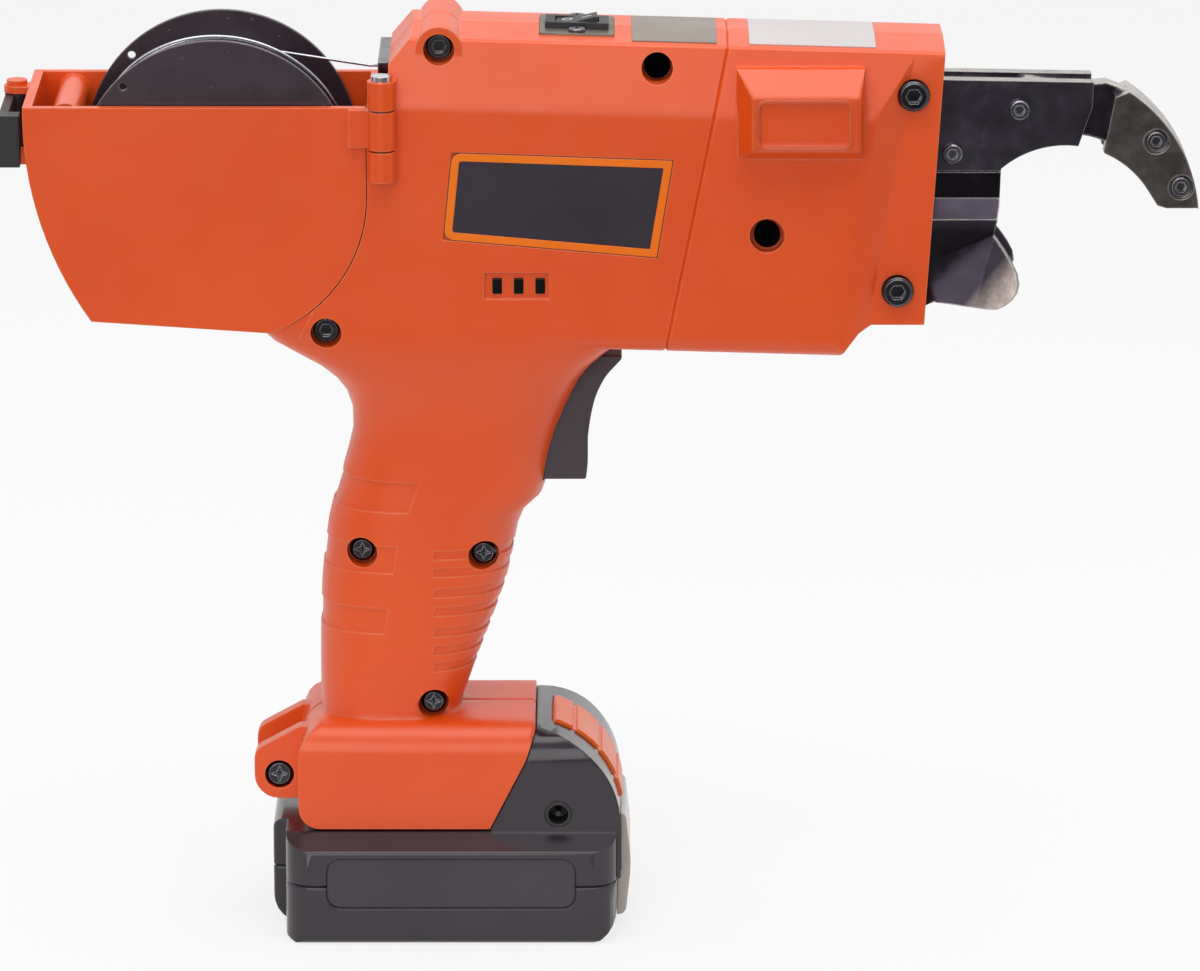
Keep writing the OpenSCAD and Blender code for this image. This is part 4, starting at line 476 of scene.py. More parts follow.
def smoked_lens():
    """Polycarbonate: smoked nearly black, polished."""
    return moulded("smoked_lens", ("08070A", "0E0C12"), gloss=(0.1, 0.16), grain_mm=2, relief=0.002,
                   specular=0.25)[0]


def printed_film(name, codes):
    """Polyester label film: flat ink under a thin satin coat."""
    return moulded(name, codes, gloss=(0.3, 0.4), grain_mm=1.5, relief=0.004, specular=0.3)[0]


def inner_plastic(name, codes):
    """Plastic of pieces inside the tool."""
    return moulded(name, codes, gloss=(0.4, 0.55), grain_mm=0.8, relief=0.01)[0]


ORANGE = orange_abs()
GRAPHITE = graphite_abs()
CHARCOAL = charcoal_nylon()
REEL_BLACK = reel_styrene()
BLACK = black_nylon()
GUARD = pale_guard()
BUTTON = button_abs()
LENS = smoked_lens()
# Heat-blackened steel sheet: blue-black, oily gloss, bright where an edge is rubbed
BLACKENED = metal("blackened_steel", ("3E3846", "524C5A"), gloss=(0.14, 0.28), grain_mm=0.8, relief=0.005,
                  edge="A8A29F", rub=0.7)
# The jaw's plates, blackened the same, their upward faces paler grey
JAW_PLATE = metal("blackened_plate", ("504A56", "605A66"), gloss=(0.16, 0.3), grain_mm=0.8, relief=0.005,
                  edge="A8A29F", rub=0.7, top="A9A29B")
# The lower guide, blackened the same, its bent-out lips bright with a painted highlight
GUIDE_STEEL = metal("blackened_guide", ("2A262D", "36313A"), gloss=(0.12, 0.24), grain_mm=0.8, relief=0.005,
                    edge="A8A29F", rub=0.7, lip_highlight="B4A49C")
# The jaw's core, blackened like its plates, its edges rubbed bright and its notched top's upward faces paler
JAW_CORE = metal("blackened_core", ("2E2A33", "47424C"), gloss=(0.2, 0.36), grain_mm=0.8, relief=0.006,
                 edge="D2CDC8", rub=1.3, top="C4BEB7")
# The jaw's tip, its blacking rubbed grey by the wire
JAW_TIP = metal("rubbed_steel", ("6A6361", "766F6C"), gloss=(0.2, 0.36), grain_mm=0.7, relief=0.008,
                edge="C0BBB6", rub=0.9, top="C0BAB3")
# Ground tool steel: grey, fine lines along the jaw
GROUND = metal("ground_steel", ("6F6A66", "948E88"), gloss=(0.28, 0.42), grain_mm=0.5, relief=0.01,
               stretch=(0.15, 1, 1), edge="C9C4BE")
# Black oxide screws: dark grey, oiled, their rims rubbed bright by the key
SCREW_BLACK = metal("black_oxide_steel", ("2C2C31", "454549"), gloss=(0.2, 0.32), grain_mm=0.6, relief=0.004,
                    edge="C0C0C6", rub=0.6)
# Screws of the jaw and guide, their blacking mostly rubbed off
SCREW_WORN = metal("rubbed_oxide_steel", ("4E4C52", "6C6A70"), gloss=(0.2, 0.32), grain_mm=0.6, relief=0.004,
                   edge="D2D2D6", rub=0.7)
# Screws deep in their holes, painted dull and nearly black as the shade of the holes
SCREW_SHADE_BLACK = metal("painted_shade_steel", ("070708", "0D0D0F"), gloss=(0.6, 0.75), grain_mm=0.5, relief=0.01)
# Zinc-plated steel: pale, bright
ZINC = metal("zinc_plated_steel", ("B9B9BD", "D6D6D8"), gloss=(0.16, 0.3), grain_mm=0.8, relief=0.004)
# Drawn tie wire: grey-white, shiny, fine drawing lines
WIRE = metal("drawn_wire", ("ACADB2", "BFC0C5"), gloss=(0.18, 0.3), grain_mm=0.6, relief=0.004)
# Satin aluminium sheet under the switch: warm grey, brushed across
SATIN = metal("satin_aluminium", ("6E675E", "857D73"), gloss=(0.38, 0.5), grain_mm=0.4, relief=0.006,
              stretch=(1, 0.1, 1))
# Die-cast aluminium, motor cans, sintered bronze and brass: pieces inside
CAST = metal("cast_aluminium", ("8A8B8F", "A2A3A6"), gloss=(0.45, 0.6), grain_mm=0.9, relief=0.02)
CAN = metal("motor_can", ("7A7C80", "909296"), gloss=(0.25, 0.4), grain_mm=0.8, relief=0.004)
BRONZE = metal("sintered_bronze", ("8C6A3A", "A88048"), gloss=(0.4, 0.55), grain_mm=0.7, relief=0.02)
BRASS = metal("contact_brass", ("B08A48", "C9A35C"), gloss=(0.25, 0.35), grain_mm=0.6, relief=0.004)
BOARD = inner_plastic("circuit_laminate", ("0E4A26", "14592F"))
SLEEVE = inner_plastic("cell_sleeve", ("23509A", "2C5CAA"))
PLATE_INK = printed_film("plate_black_ink", ("2E2830", "362F38"))
BORDER_INK = printed_film("plate_orange_ink", ("F0700A", "F47A14"))
GREY_FILM = printed_film("grey_label_film", ("7C7066", "887C71"))
SILVER_FILM = printed_film("silver_label_film", ("C4BDBC", "CFC9C7"))
WHITE_INK = printed_film("white_ink", ("D8D8D8", "E6E6E6"))
PACK_FILM = printed_film("dark_label_film", ("38353A", "413D43"))


# Free wire from the inlet round the reel, on the route of its solid

REEL_LOW, REEL_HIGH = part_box("wire_reel")
REEL_MID = (REEL_LOW + REEL_HIGH) / 2
REEL_R = (REEL_HIGH.x - REEL_LOW.x) / 2
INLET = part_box("wire_inlet_guide")
WIRE_D = 0.8 * MM
WIRE_SIDES = 10
# Radius of the winding, and how far over it the free wire ends
WINDING_R = 26 * MM
LEAD_OVER = 1.2 * MM
# Through the inlet: rise over its foot, thickness of its plate, straight run past each face
INLET_RISE = 6.5 * MM
INLET_T = 3 * MM
LEAD_END_RUN = 2.5 * MM
# Round the reel: first angle and sweep in degrees, steps, start in from the rim, place across, the share of
# that at the start, and the power by which the turn falls to the winding
LEAD_TURN = (62, 395)
LEAD_STEPS = 180
LEAD_RIM_IN = 2.2 * MM
LEAD_Y = -10 * MM
LEAD_Y_START = 0.55
LEAD_FALL = 3


def lead_points():
    """Points of the free wire, from the inlet over the reel's top and round to the winding."""
    rise = INLET[0].z + INLET_RISE
    front = INLET[0].x + INLET_T
    points = [Vector((front + LEAD_END_RUN, 0, rise)), Vector((INLET[0].x - LEAD_END_RUN, 0, rise))]
    outer = REEL_R - LEAD_RIM_IN
    for i in range(LEAD_STEPS + 1):
        share = i / LEAD_STEPS
        angle = math.radians(LEAD_TURN[0] + LEAD_TURN[1] * share)
        radius = outer - (outer - WINDING_R - LEAD_OVER) * share ** LEAD_FALL
        across = LEAD_Y * min(1, LEAD_Y_START + share)
        points.append(REEL_MID + Vector((radius * math.cos(angle), across, radius * math.sin(angle))))
    return points


def wire_mesh(name, points):
    """A closed tube of the wire's thickness along points."""
    shape = bmesh.new()
    rings = []
    turns = [2 * math.pi * k / WIRE_SIDES for k in range(WIRE_SIDES)]
    for i, point in enumerate(points):
        along = (points[min(i + 1, len(points) - 1)] - points[max(i - 1, 0)]).normalized()
        side = along.cross(Vector((0, 1, 0))).normalized()
        up = along.cross(side)
        ring = [point + WIRE_D / 2 * (math.cos(t) * side + math.sin(t) * up) for t in turns]
        rings.append([shape.verts.new(p) for p in ring])
    for a, b in zip(rings, rings[1:]):
        for k in range(WIRE_SIDES):
            n = (k + 1) % WIRE_SIDES
            shape.faces.new((a[k], a[n], b[n], b[k]))
    shape.faces.new(rings[0][::-1])
    shape.faces.new(rings[-1])
    bmesh.ops.recalc_face_normals(shape, faces=shape.faces)
    return put(shape, bpy.data.meshes.new(name))


def make_lead():
    """The free wire, in place of its CAD node."""
    points = lead_points()
    mesh = wire_mesh("tie_wire_lead", points)
    lead = new_piece("tie_wire_lead", mesh, WIRE, "housing", ["wire_lead"])
    soften(lead)


make_lead()


# Pieces made by node trees

def new_tree(name, sizes):
    """A geometry node tree with named sizes and a material as inputs."""
    tree = bpy.data.node_groups.new(name, "GeometryNodeTree")
    tree.interface.new_socket("Geometry", in_out="INPUT", socket_type="NodeSocketGeometry")
    for size in sizes:
        tree.interface.new_socket(size, in_out="INPUT", socket_type="NodeSocketFloat")
    tree.interface.new_socket("Material", in_out="INPUT", socket_type="NodeSocketMaterial")
    tree.interface.new_socket("Geometry", in_out="OUTPUT", socket_type="NodeSocketGeometry")
    return tree, add(tree, "NodeGroupInput").outputs


def end_tree(tree, geometry, given):
    """Ends a tree with real geometry in the given material."""
    real = add(tree, "GeometryNodeRealizeInstances", {"Geometry": geometry})
    coloured = add(tree, "GeometryNodeSetMaterial", {
        "Geometry": real.outputs["Geometry"], "Material": given["Material"]})
    add(tree, "NodeGroupOutput", {"Geometry": coloured.outputs["Geometry"]})


def grown_mesh(name, tree, values, material, mesh=None):
    """The plain mesh that a node tree makes from a mesh of points."""
    seed = in_scene(name + "_seed", mesh or bpy.data.meshes.new(name + "_seed"))
    modifier = seed.modifiers.new("grow", "NODES")
    modifier.node_group = tree
    given = {**values, "Material": material}
    for item in tree.interface.items_tree:
        if item.in_out == "INPUT" and item.name in given:
            modifier[item.identifier] = given[item.name]
    grown = bpy.data.meshes.new_from_object(seed.evaluated_get(bpy.context.evaluated_depsgraph_get()))
    bpy.data.objects.remove(seed)
    grown.name = name
    return grown


# Sides of a screw's head and shank, and the waist of a cross recess as a share of its reach
HEAD_SIDES = 48
SHANK_SIDES = 24
CROSS_WAIST = 0.36
SCREW_SIZES = ("Head radius", "Head height", "Chamfer", "Drive radius", "Drive depth", "Shank radius")


def screw_tree(drive):
    """Screws on points: a chamfered head with a hexagon or cross recess, and its shank, along Z."""
    tree, given = new_tree(drive + "_screws", SCREW_SIZES + ("Shank length",))

    def upward(height):
        return add(tree, "ShaderNodeCombineXYZ", {"Z": height}).outputs[0]

    low_h = combine(tree, "SUBTRACT", given["Head height"], given["Chamfer"])
    top_r = combine(tree, "SUBTRACT", given["Head radius"], given["Chamfer"])
    drum = add(tree, "GeometryNodeMeshCylinder", {
        "Vertices": HEAD_SIDES, "Radius": given["Head radius"], "Depth": low_h})
    cap = add(tree, "GeometryNodeMeshCone", {
        "Vertices": HEAD_SIDES, "Radius Top": top_r, "Radius Bottom": given["Head radius"],
        "Depth": given["Chamfer"]})
    shank = add(tree, "GeometryNodeMeshCylinder", {
        "Vertices": SHANK_SIDES, "Radius": given["Shank radius"], "Depth": given["Shank length"]})
    drum_z = combine(tree, "MULTIPLY", combine(tree, "ADD", given["Head height"], given["Chamfer"]), -0.5)
    cap_z = combine(tree, "MULTIPLY", given["Chamfer"], -1.0)
    mid_shank = combine(tree, "MULTIPLY", given["Shank length"], -0.5)
    shank_z = combine(tree, "SUBTRACT", mid_shank, given["Head height"])
    whole = add(tree, "GeometryNodeMeshBoolean", operation="UNION")
    for part, height in ((drum, drum_z), (cap, cap_z), (shank, shank_z)):
        moved = add(tree, "GeometryNodeTransform", {
            "Geometry": part.outputs["Mesh"], "Translation": upward(height)})
        tree.links.new(moved.outputs[0], whole.inputs["Mesh 2"])
    if drive == "hexagon":
        deep = combine(tree, "MULTIPLY", given["Drive depth"], 2.0)
        cutter = add(tree, "GeometryNodeMeshCylinder", {
            "Vertices": 6, "Radius": given["Drive radius"], "Depth": deep})
    else:
        waist = combine(tree, "MULTIPLY", given["Drive radius"], CROSS_WAIST)
        star = add(tree, "GeometryNodeCurveStar", {
            "Points": 4, "Inner Radius": waist, "Outer Radius": given["Drive radius"]})
        under = upward(combine(tree, "MULTIPLY", given["Drive depth"], -1))
        over = upward(combine(tree, "MULTIPLY", given["Drive depth"], 1))
        line = add(tree, "GeometryNodeCurvePrimitiveLine", {"Start": under, "End": over})
        cutter = add(tree, "GeometryNodeCurveToMesh", {
            "Curve": line.outputs["Curve"], "Profile Curve": star.outputs["Curve"], "Fill Caps": True})
    cut = add(tree, "GeometryNodeMeshBoolean", {
        "Mesh 1": whole.outputs["Mesh"], "Mesh 2": cutter.outputs["Mesh"]}, operation="DIFFERENCE")
    facing = add(tree, "GeometryNodeInputNamedAttribute", {"Name": "facing"}, data_type="FLOAT_VECTOR")
    turn = add(tree, "FunctionNodeAlignRotationToVector", {"Vector": facing.outputs["Attribute"]}, axis="Z")
    placed = add(tree, "GeometryNodeInstanceOnPoints", {
        "Points": given["Geometry"], "Instance": cut.outputs["Mesh"],
        "Rotation": turn.outputs["Rotation"]})
    end_tree(tree, placed.outputs["Instances"], given)
    return tree


SCREW_TREES = {drive: screw_tree(drive) for drive in ("hexagon", "cross")}


def make_screws(node, drive, sizes, pick=None, name=None, material=SCREW_BLACK, axis=1):
    """Detailed screws where a CAD node has its plain ones, or those of them that pick takes by low corner."""
    name = name or node
    values = {size: value * MM for size, value in zip(SCREW_SIZES, sizes)}
    screws = []
    for low, high in solids_of(node):
        if pick and not pick(low):
            continue
        head_low = axis == 1 and low.y < 0
        top = (low + high) / 2
        top[axis] = low[axis] if head_low else high[axis]
        facing = Vector((0, 0, 0))
        facing[axis] = -1 if head_low else 1
        values["Shank length"] = high[axis] - low[axis] - values["Head height"]
        point = bpy.data.meshes.new("screw_place")
        point.from_pydata([top], [], [])
        point.attributes.new("facing", "FLOAT_VECTOR", "POINT").data[0].vector = facing
        screws.append(grown_mesh(f"{name}_{len(screws)}", SCREW_TREES[drive], values, material, point))
    joined = put(shape_of(*screws), bpy.data.meshes.new(name + "_piece"))
    soften(new_piece(name + "_piece", joined, material, body_of(node), [node]))


# Screws, in millimetres: head's radius, height and chamfer, recess's reach and depth, shank's radius
BODY_SCREW = (3.6, 3, 0.5, 1.9, 1.8, 1.9)
GRIP_SCREW = (3.6, 3, 1.0, 2.0, 1.6, 1.9)
NOSE_SCREW = (4.2, 4, 0.6, 2.2, 2.2, 2.5)
JAW_SCREW = (2.8, 2, 0.35, 1.5, 1.3, 1.5)
STRAP_SCREW = (4, 2.5, 1.0, 2.3, 1.4, 2.4)
PLATE_SCREW = (2.4, 0.9, 0.3, 1.4, 0.6, 1.5)
# Height under which the housing screws sit in the grip, and the X in front of which one sits deep in its
# hole and the nose screws are large
GRIP_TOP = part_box("trigger")[0].z
DEEP_FROM = 40 * MM
NOSE_MID = (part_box("right_nose_cover")[0].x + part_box("right_nose_cover")[1].x) / 2

make_screws("housing_screws", "hexagon", BODY_SCREW, lambda low: low.z > GRIP_TOP and low.x < DEEP_FROM)
# Painted shade: the deep screw is nearly black for the dark of its hole
make_screws("housing_screws", "hexagon", BODY_SCREW, lambda low: low.z > GRIP_TOP and low.x > DEEP_FROM,
            "housing_deep_screw", SCREW_SHADE_BLACK)
make_screws("housing_screws", "cross", GRIP_SCREW, lambda low: low.z < GRIP_TOP, "grip_screws")
make_screws("nose_screws", "hexagon", NOSE_SCREW, lambda low: low.x > NOSE_MID)
# Painted shade: the deep screw is nearly black for the dark of its hole
make_screws("nose_screws", "hexagon", BODY_SCREW, lambda low: low.x < NOSE_MID, "nose_inner_screw",
            SCREW_SHADE_BLACK)
make_screws("jaw_screws", "hexagon", JAW_SCREW, material=SCREW_WORN)
make_screws("guide_screws", "hexagon", JAW_SCREW, material=SCREW_WORN)
make_screws("lanyard_screw", "cross", STRAP_SCREW)
make_screws("plate_screws", "cross", PLATE_SCREW, axis=2)

# Winding: its turns, the steps of one turn and the sides of its wire
WINDING_TURNS = 44
TURN_STEPS = 48
TURN_SIDES = 8
# Loose outer turn along the near rim: first and last angle in degrees, steps, reach past the flange, place
# across, and the power by which its ends dip to the winding
SLACK_ANGLES = (-28, 168)
SLACK_STEPS = 90
SLACK_OUT = 0.4 * MM
SLACK_Y = -17.5 * MM
SLACK_DIP = 6


def winding_tree():
    """Wire laid side by side as one helix, round an axis along Y."""
    tree, given = new_tree("wire_turns", ("Radius", "Wire radius", "Width", "Turns"))
    helix = add(tree, "GeometryNodeCurveSpiral", {
        "Resolution": TURN_STEPS, "Rotations": given["Turns"], "Start Radius": given["Radius"],
        "End Radius": given["Radius"], "Height": given["Width"]})
    profile = add(tree, "GeometryNodeCurvePrimitiveCircle", {
        "Resolution": TURN_SIDES, "Radius": given["Wire radius"]})
    wire = add(tree, "GeometryNodeCurveToMesh", {
        "Curve": helix.outputs["Curve"], "Profile Curve": profile.outputs["Curve"], "Fill Caps": True})
    half = combine(tree, "MULTIPLY", given["Width"], -0.5)
    middle = add(tree, "ShaderNodeCombineXYZ", {"Z": half})
    centred = add(tree, "GeometryNodeTransform", {
        "Geometry": wire.outputs["Mesh"], "Translation": middle.outputs[0]})
    lying = add(tree, "GeometryNodeTransform", {
        "Geometry": centred.outputs[0], "Rotation": (math.pi / 2, 0, 0)})
    end_tree(tree, lying.outputs[0], given)
    return tree


def slack_points():
    """Points of the loose outer turn, whose ends dip to the winding."""
    points = []
    outer = REEL_R + SLACK_OUT
    for i in range(SLACK_STEPS + 1):
        share = i / SLACK_STEPS
        angle = math.radians(SLACK_ANGLES[0] + (SLACK_ANGLES[1] - SLACK_ANGLES[0]) * share)
        radius = outer - (outer - WINDING_R) * abs(2 * share - 1) ** SLACK_DIP
        points.append(REEL_MID + Vector((radius * math.cos(angle), SLACK_Y, radius * math.sin(angle))))
    return points


def make_winding():
    """The wound wire with its loose outer turn."""
    low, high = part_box("wire_winding")
    values = {"Radius": WINDING_R - WIRE_D / 2, "Wire radius": WIRE_D / 2, "Width": high.y - low.y - WIRE_D,
              "Turns": float(WINDING_TURNS)}
    wound = grown_mesh("tie_wire_turns", winding_tree(), values, WIRE)
    wound.transform(Matrix.Translation(REEL_MID))
    put(shape_of(wound, wire_mesh("slack_turn", slack_points())), wound)
    soften(new_piece("tie_wire_turns", wound, WIRE, "reel", ["wire_winding"]))


make_winding()


# Plates and labels

# Decimals of a metre to which a corner is read
PLACES = 6
# Steps of a round corner
CORNER_STEPS = 8


def front_outline(node):
    """Corners of a thin node's right face, in order round it."""
    face_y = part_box(node)[0].y + MERGE
    front = [v.co for v in NODES[node].data.vertices if v.co.y < face_y]
    corners = {(round(p.x, PLACES), round(p.z, PLACES)) for p in front}
    middle = sum((Vector(c) for c in corners), Vector((0, 0))) / len(corners)
    return sorted((Vector(c) for c in corners), key=lambda c: math.atan2(c.y - middle.y, c.x - middle.x))


def rectangle(low, high):
    """Corners of a rectangle, anticlockwise."""
    return [low, Vector((high.x, low.y)), high, Vector((low.x, high.y))]


def moved_in(outline, distance):
    """An anticlockwise outline with each side moved inward."""
    points = []
    for i, corner in enumerate(outline):
        before = (corner - outline[i - 1]).normalized()
        after = (outline[(i + 1) % len(outline)] - corner).normalized()
        a = Vector((-before.y, before.x))
        b = Vector((-after.y, after.x))
        points.append(corner + (a + b) * distance / (1 + a.dot(b)))
    return points


def rounded(outline, radii):
    """An outline with round corners."""
    points = []
    for i, corner in enumerate(outline):
        before = (outline[i - 1] - corner).normalized()
        after = (outline[(i + 1) % len(outline)] - corner).normalized()
        reach = radii[i] / math.tan(before.angle(after) / 2)
        for k in range(CORNER_STEPS + 1):
            share = k / CORNER_STEPS
            points.append(corner + before * reach * (1 - share) ** 2 + after * reach * share ** 2)
    return points


def slab(name, outer, y_low, y_high, inner=None):
    """A flat plate in XZ between two Y values, or a frame where an inner outline is given."""
    shape = bmesh.new()
    rows = [[shape.verts.new((p.x, y, p.y)) for p in line]
            for line in ([outer] if inner is None else [outer, inner]) for y in (y_low, y_high)]
    count = len(outer)
    for k in range(count):
        n = (k + 1) % count
        shape.faces.new((rows[0][k], rows[0][n], rows[1][n], rows[1][k]))
        if inner is not None:
            shape.faces.new((rows[2][n], rows[2][k], rows[3][k], rows[3][n]))
            shape.faces.new((rows[0][n], rows[0][k], rows[2][k], rows[2][n]))
            shape.faces.new((rows[1][k], rows[1][n], rows[3][n], rows[3][k]))
    if inner is None:
        shape.faces.new(rows[0][::-1])
        shape.faces.new(rows[1])
    bmesh.ops.recalc_face_normals(shape, faces=shape.faces)
    return put(shape, bpy.data.meshes.new(name))


# Plate: length of its rear, corner radii there and in front; border's inset, width, least radius, and half
# its thickness
PLATE_REAR = 20 * MM
PLATE_REAR_R = 3.2 * MM
PLATE_FRONT_R = 0.4 * MM
BORDER_IN = 0.12 * MM
BORDER_W = 2.2 * MM
BORDER_LEAST_R = 0.3 * MM
PRINT_T = 0.08 * MM


def make_spec_plate():
    """Black plate with an orange border, its face bare."""
    low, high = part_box("spec_plate")
    corners = front_outline("spec_plate")
    radii = [PLATE_REAR_R if c.x < low.x + PLATE_REAR else PLATE_FRONT_R for c in corners]
    plate = slab("spec_plate_piece", rounded(corners, radii), low.y, high.y)
    soften(new_piece("spec_plate_piece", plate, PLATE_INK, "housing", ["spec_plate"]))
    outer, inner = (rounded(moved_in(corners, d), [max(r - d, BORDER_LEAST_R) for r in radii])
                    for d in (BORDER_IN, BORDER_IN + BORDER_W))
    border = slab("spec_plate_border", outer, low.y - PRINT_T, low.y + PRINT_T, inner)
    soften(new_piece("spec_plate_border", border, BORDER_INK, "housing"))


make_spec_plate()

# Room round a label's box within which its points are taken
LABEL_ROOM = 1 * MM


def make_top_labels():
    """Two bare films on the top: grey behind the nose seam, silver on the nose."""
    both = cad_mesh("top_labels")
    films = (("rear_label", GREY_FILM), ("front_label", SILVER_FILM))
    for (low, high), (name, film) in zip(solids_of("top_labels"), films):
        shape = shape_of(both)
        away = [v for v in shape.verts if not low.x - LABEL_ROOM < v.co.x < high.x + LABEL_ROOM]
        bmesh.ops.delete(shape, geom=away, context="VERTS")
        mesh = put(shape, bpy.data.meshes.new(name))
        soften(new_piece(name, mesh, film, "housing", ["top_labels"]))


make_top_labels()

# Bead round the recess of the pad on the nose: the recess's low and high corner in XZ, and the bead's inner
# corner radius, width, rise and root
BEAD_LOW = Vector((85.2, 228.6)) * MM
BEAD_HIGH = Vector((110.1, 241)) * MM
BEAD_R = 2.2 * MM
BEAD_W = 0.9 * MM
BEAD_RISE = 0.3 * MM
BEAD_ROOT = 0.8 * MM


def make_pad_bead():
    """Raised bead with round corners along the edge of the pad's recess."""
    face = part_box("right_nose_cover")[0].y
    margin = Vector((BEAD_W, BEAD_W))
    outer = rounded(rectangle(BEAD_LOW - margin, BEAD_HIGH + margin), [BEAD_R + BEAD_W] * 4)
    inner = rounded(rectangle(BEAD_LOW, BEAD_HIGH), [BEAD_R] * 4)
    bead = slab("pad_bead", outer, face - BEAD_RISE, face + BEAD_ROOT, inner)
    soften(new_piece("pad_bead", bead, ORANGE, "housing"))


make_pad_bead()

# Panel of the battery's right side: length, height, middle, corner and depth; its film's thickness and gap
PANEL_LEN = 70 * MM
PANEL_H = 14.6 * MM
PANEL_Z = 18 * MM
PANEL_R = 4 * MM
PANEL_DEEP = 0.8 * MM
FILM_T = 0.3 * MM
FILM_GAP = 0.3 * MM


def make_pack_film():
    """Bare label film that covers the seam in the panel."""
    middle = Vector((0, PANEL_Z))
    half = Vector((PANEL_LEN, PANEL_H)) / 2 - Vector((FILM_GAP, FILM_GAP))
    outline = rounded(rectangle(middle - half, middle + half), [PANEL_R] * 4)
    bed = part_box("battery_tub")[0].y + PANEL_DEEP
    film = slab("pack_film", outline, bed - FILM_T, bed)
    soften(new_piece("pack_film", film, PACK_FILM, "battery"))


make_pack_film()

# Marks of the rocker: places of a ring and a bar as shares of its length, the ring's radii and steps, the
# bar's sides, and half the thickness of the ink
RING_AT = 0.27
BAR_AT = 0.73
RING_R = (1.05 * MM, 1.45 * MM)
RING_STEPS = 32
BAR_SIZE = (0.45 * MM, 2.8 * MM)
MARK_T = 0.06 * MM
# Height from which a top is looked for
LOOK_DOWN_FROM = 1.0


def on_top(node, x, y):
    """Point and outward normal of a node's top."""
    return surface_tree([node]).ray_cast(Vector((x, y, LOOK_DOWN_FROM)), Vector((0, 0, -1)))[:2]


def make_rocker_marks():
    """A ring and a bar on the rocker's two slopes."""
    low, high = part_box("rocker")
    turns = [2 * math.pi * k / RING_STEPS for k in range(RING_STEPS)]
    hole, ring = ([Vector((math.cos(t), math.sin(t))) * r for t in turns] for r in RING_R)
    half = Vector(BAR_SIZE) / 2
    bar = rectangle(-half, half)
    for name, at, outer, inner in (("off_mark", RING_AT, ring, hole), ("on_mark", BAR_AT, bar, None)):
        place, facing = on_top("rocker", low.x + (high.x - low.x) * at, (low.y + high.y) / 2)
        mesh = slab(name, outer, -MARK_T, MARK_T, inner)
        mesh.transform(Matrix.Rotation(math.radians(90), 4, "X"))
        mesh.transform(Matrix.Translation(place) @ facing.to_track_quat("Z", "Y").to_matrix().to_4x4())
        soften(new_piece(name, mesh, WHITE_INK, "rocker"))


make_rocker_marks()


# Shells with seams: the halves meet on Y 0, the nose on a leaning plane, the pack's shells on a level one

SPLIT_LEAN = math.radians(11.3)
SPLIT_AT = Vector((60, 0, 170.1)) * MM
SPLIT_N = Vector((math.cos(SPLIT_LEAN), 0, -math.sin(SPLIT_LEAN)))
PACK_SEAM_Z = 17 * MM
# How near a seam's plane a face's middle lies, and how square to it the face is
SEAM_NEAR = 0.6 * MM
ALONG = 0.99


def meets_shell(face):
    """Whether a face lies where the halves meet, or the nose and the body."""
    middle = face.calc_center_median()
    halves = abs(face.normal.y) > ALONG and abs(middle.y) < SEAM_NEAR
    split = abs(face.normal.dot(SPLIT_N)) > ALONG and abs((middle - SPLIT_AT).dot(SPLIT_N)) < SEAM_NEAR
    return halves or split


def meets_pack(face):
    """Whether a face lies where the pack's shells meet."""
    return abs(face.normal.z) > ALONG and abs(face.calc_center_median().z - PACK_SEAM_Z) < SEAM_NEAR


def make_shells():
    """The housing, the nose and the pack, with a groove along each seam."""
    for nodes, material, meets in (
            (("right_housing", "left_housing", "right_nose_cover", "left_nose_cover"), ORANGE, meets_shell),
            (("battery_tub", "battery_upper_shell"), GRAPHITE, meets_pack)):
        shells = surface_tree(nodes)
        for node in nodes:
            dress(node, material, meets, shells)


make_shells()

# Trigger: lean of its finger face, share of its depth where that face starts, its rounding in millimetres,
# reach of the blend at each fold, and how much shorter than the trigger's width a fold may be
FINGER_LEAN = 0.15
FINGER_SHARE = 0.6
FINGER_ROUND = 1.6
FINGER_BLEND = 2.2 * MM
FOLD_SHORT = 1 * MM


def make_trigger():
    """The trigger, its finger face standing further out toward its foot as photographed."""
    low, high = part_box("trigger")
    mesh = cad_mesh("trigger")
    front = low.x + (high.x - low.x) * FINGER_SHARE
    wide = high.y - low.y - FOLD_SHORT
    shape = shape_of(mesh)
    for vert in shape.verts:
        if vert.co.x > front:
            vert.co.x += (high.z - vert.co.z) * FINGER_LEAN
    across = [e for e in shape.edges if min(v.co.x for v in e.verts) > front and e.calc_length() > wide]
    folds = [e for e in across if e.calc_face_angle() < CREASE_ANGLE]
    bmesh.ops.bevel(shape, geom=folds, offset=FINGER_BLEND, offset_type="OFFSET", segments=4, profile=0.5,
                    affect="EDGES", clamp_overlap=True)
    put(shape, mesh)
    piece = new_piece("trigger_piece", mesh, CHARCOAL, body_of("trigger"), ["trigger"])
    soften(piece, FINGER_ROUND)


make_trigger()

# How far the inlet plate's top lies under that of its CAD block
INLET_LOW = 5.4 * MM


def make_inlet():
    """The inlet's plate with its top as low as photographed."""
    node = "wire_inlet_guide"
    mesh = cad_mesh(node)
    for vert in mesh.vertices:
        if vert.co.z > INLET[1].z - MERGE:
            vert.co.z -= INLET_LOW
    soften(new_piece("wire_inlet_piece", mesh, BLACKENED, body_of(node), [node]))


make_inlet()

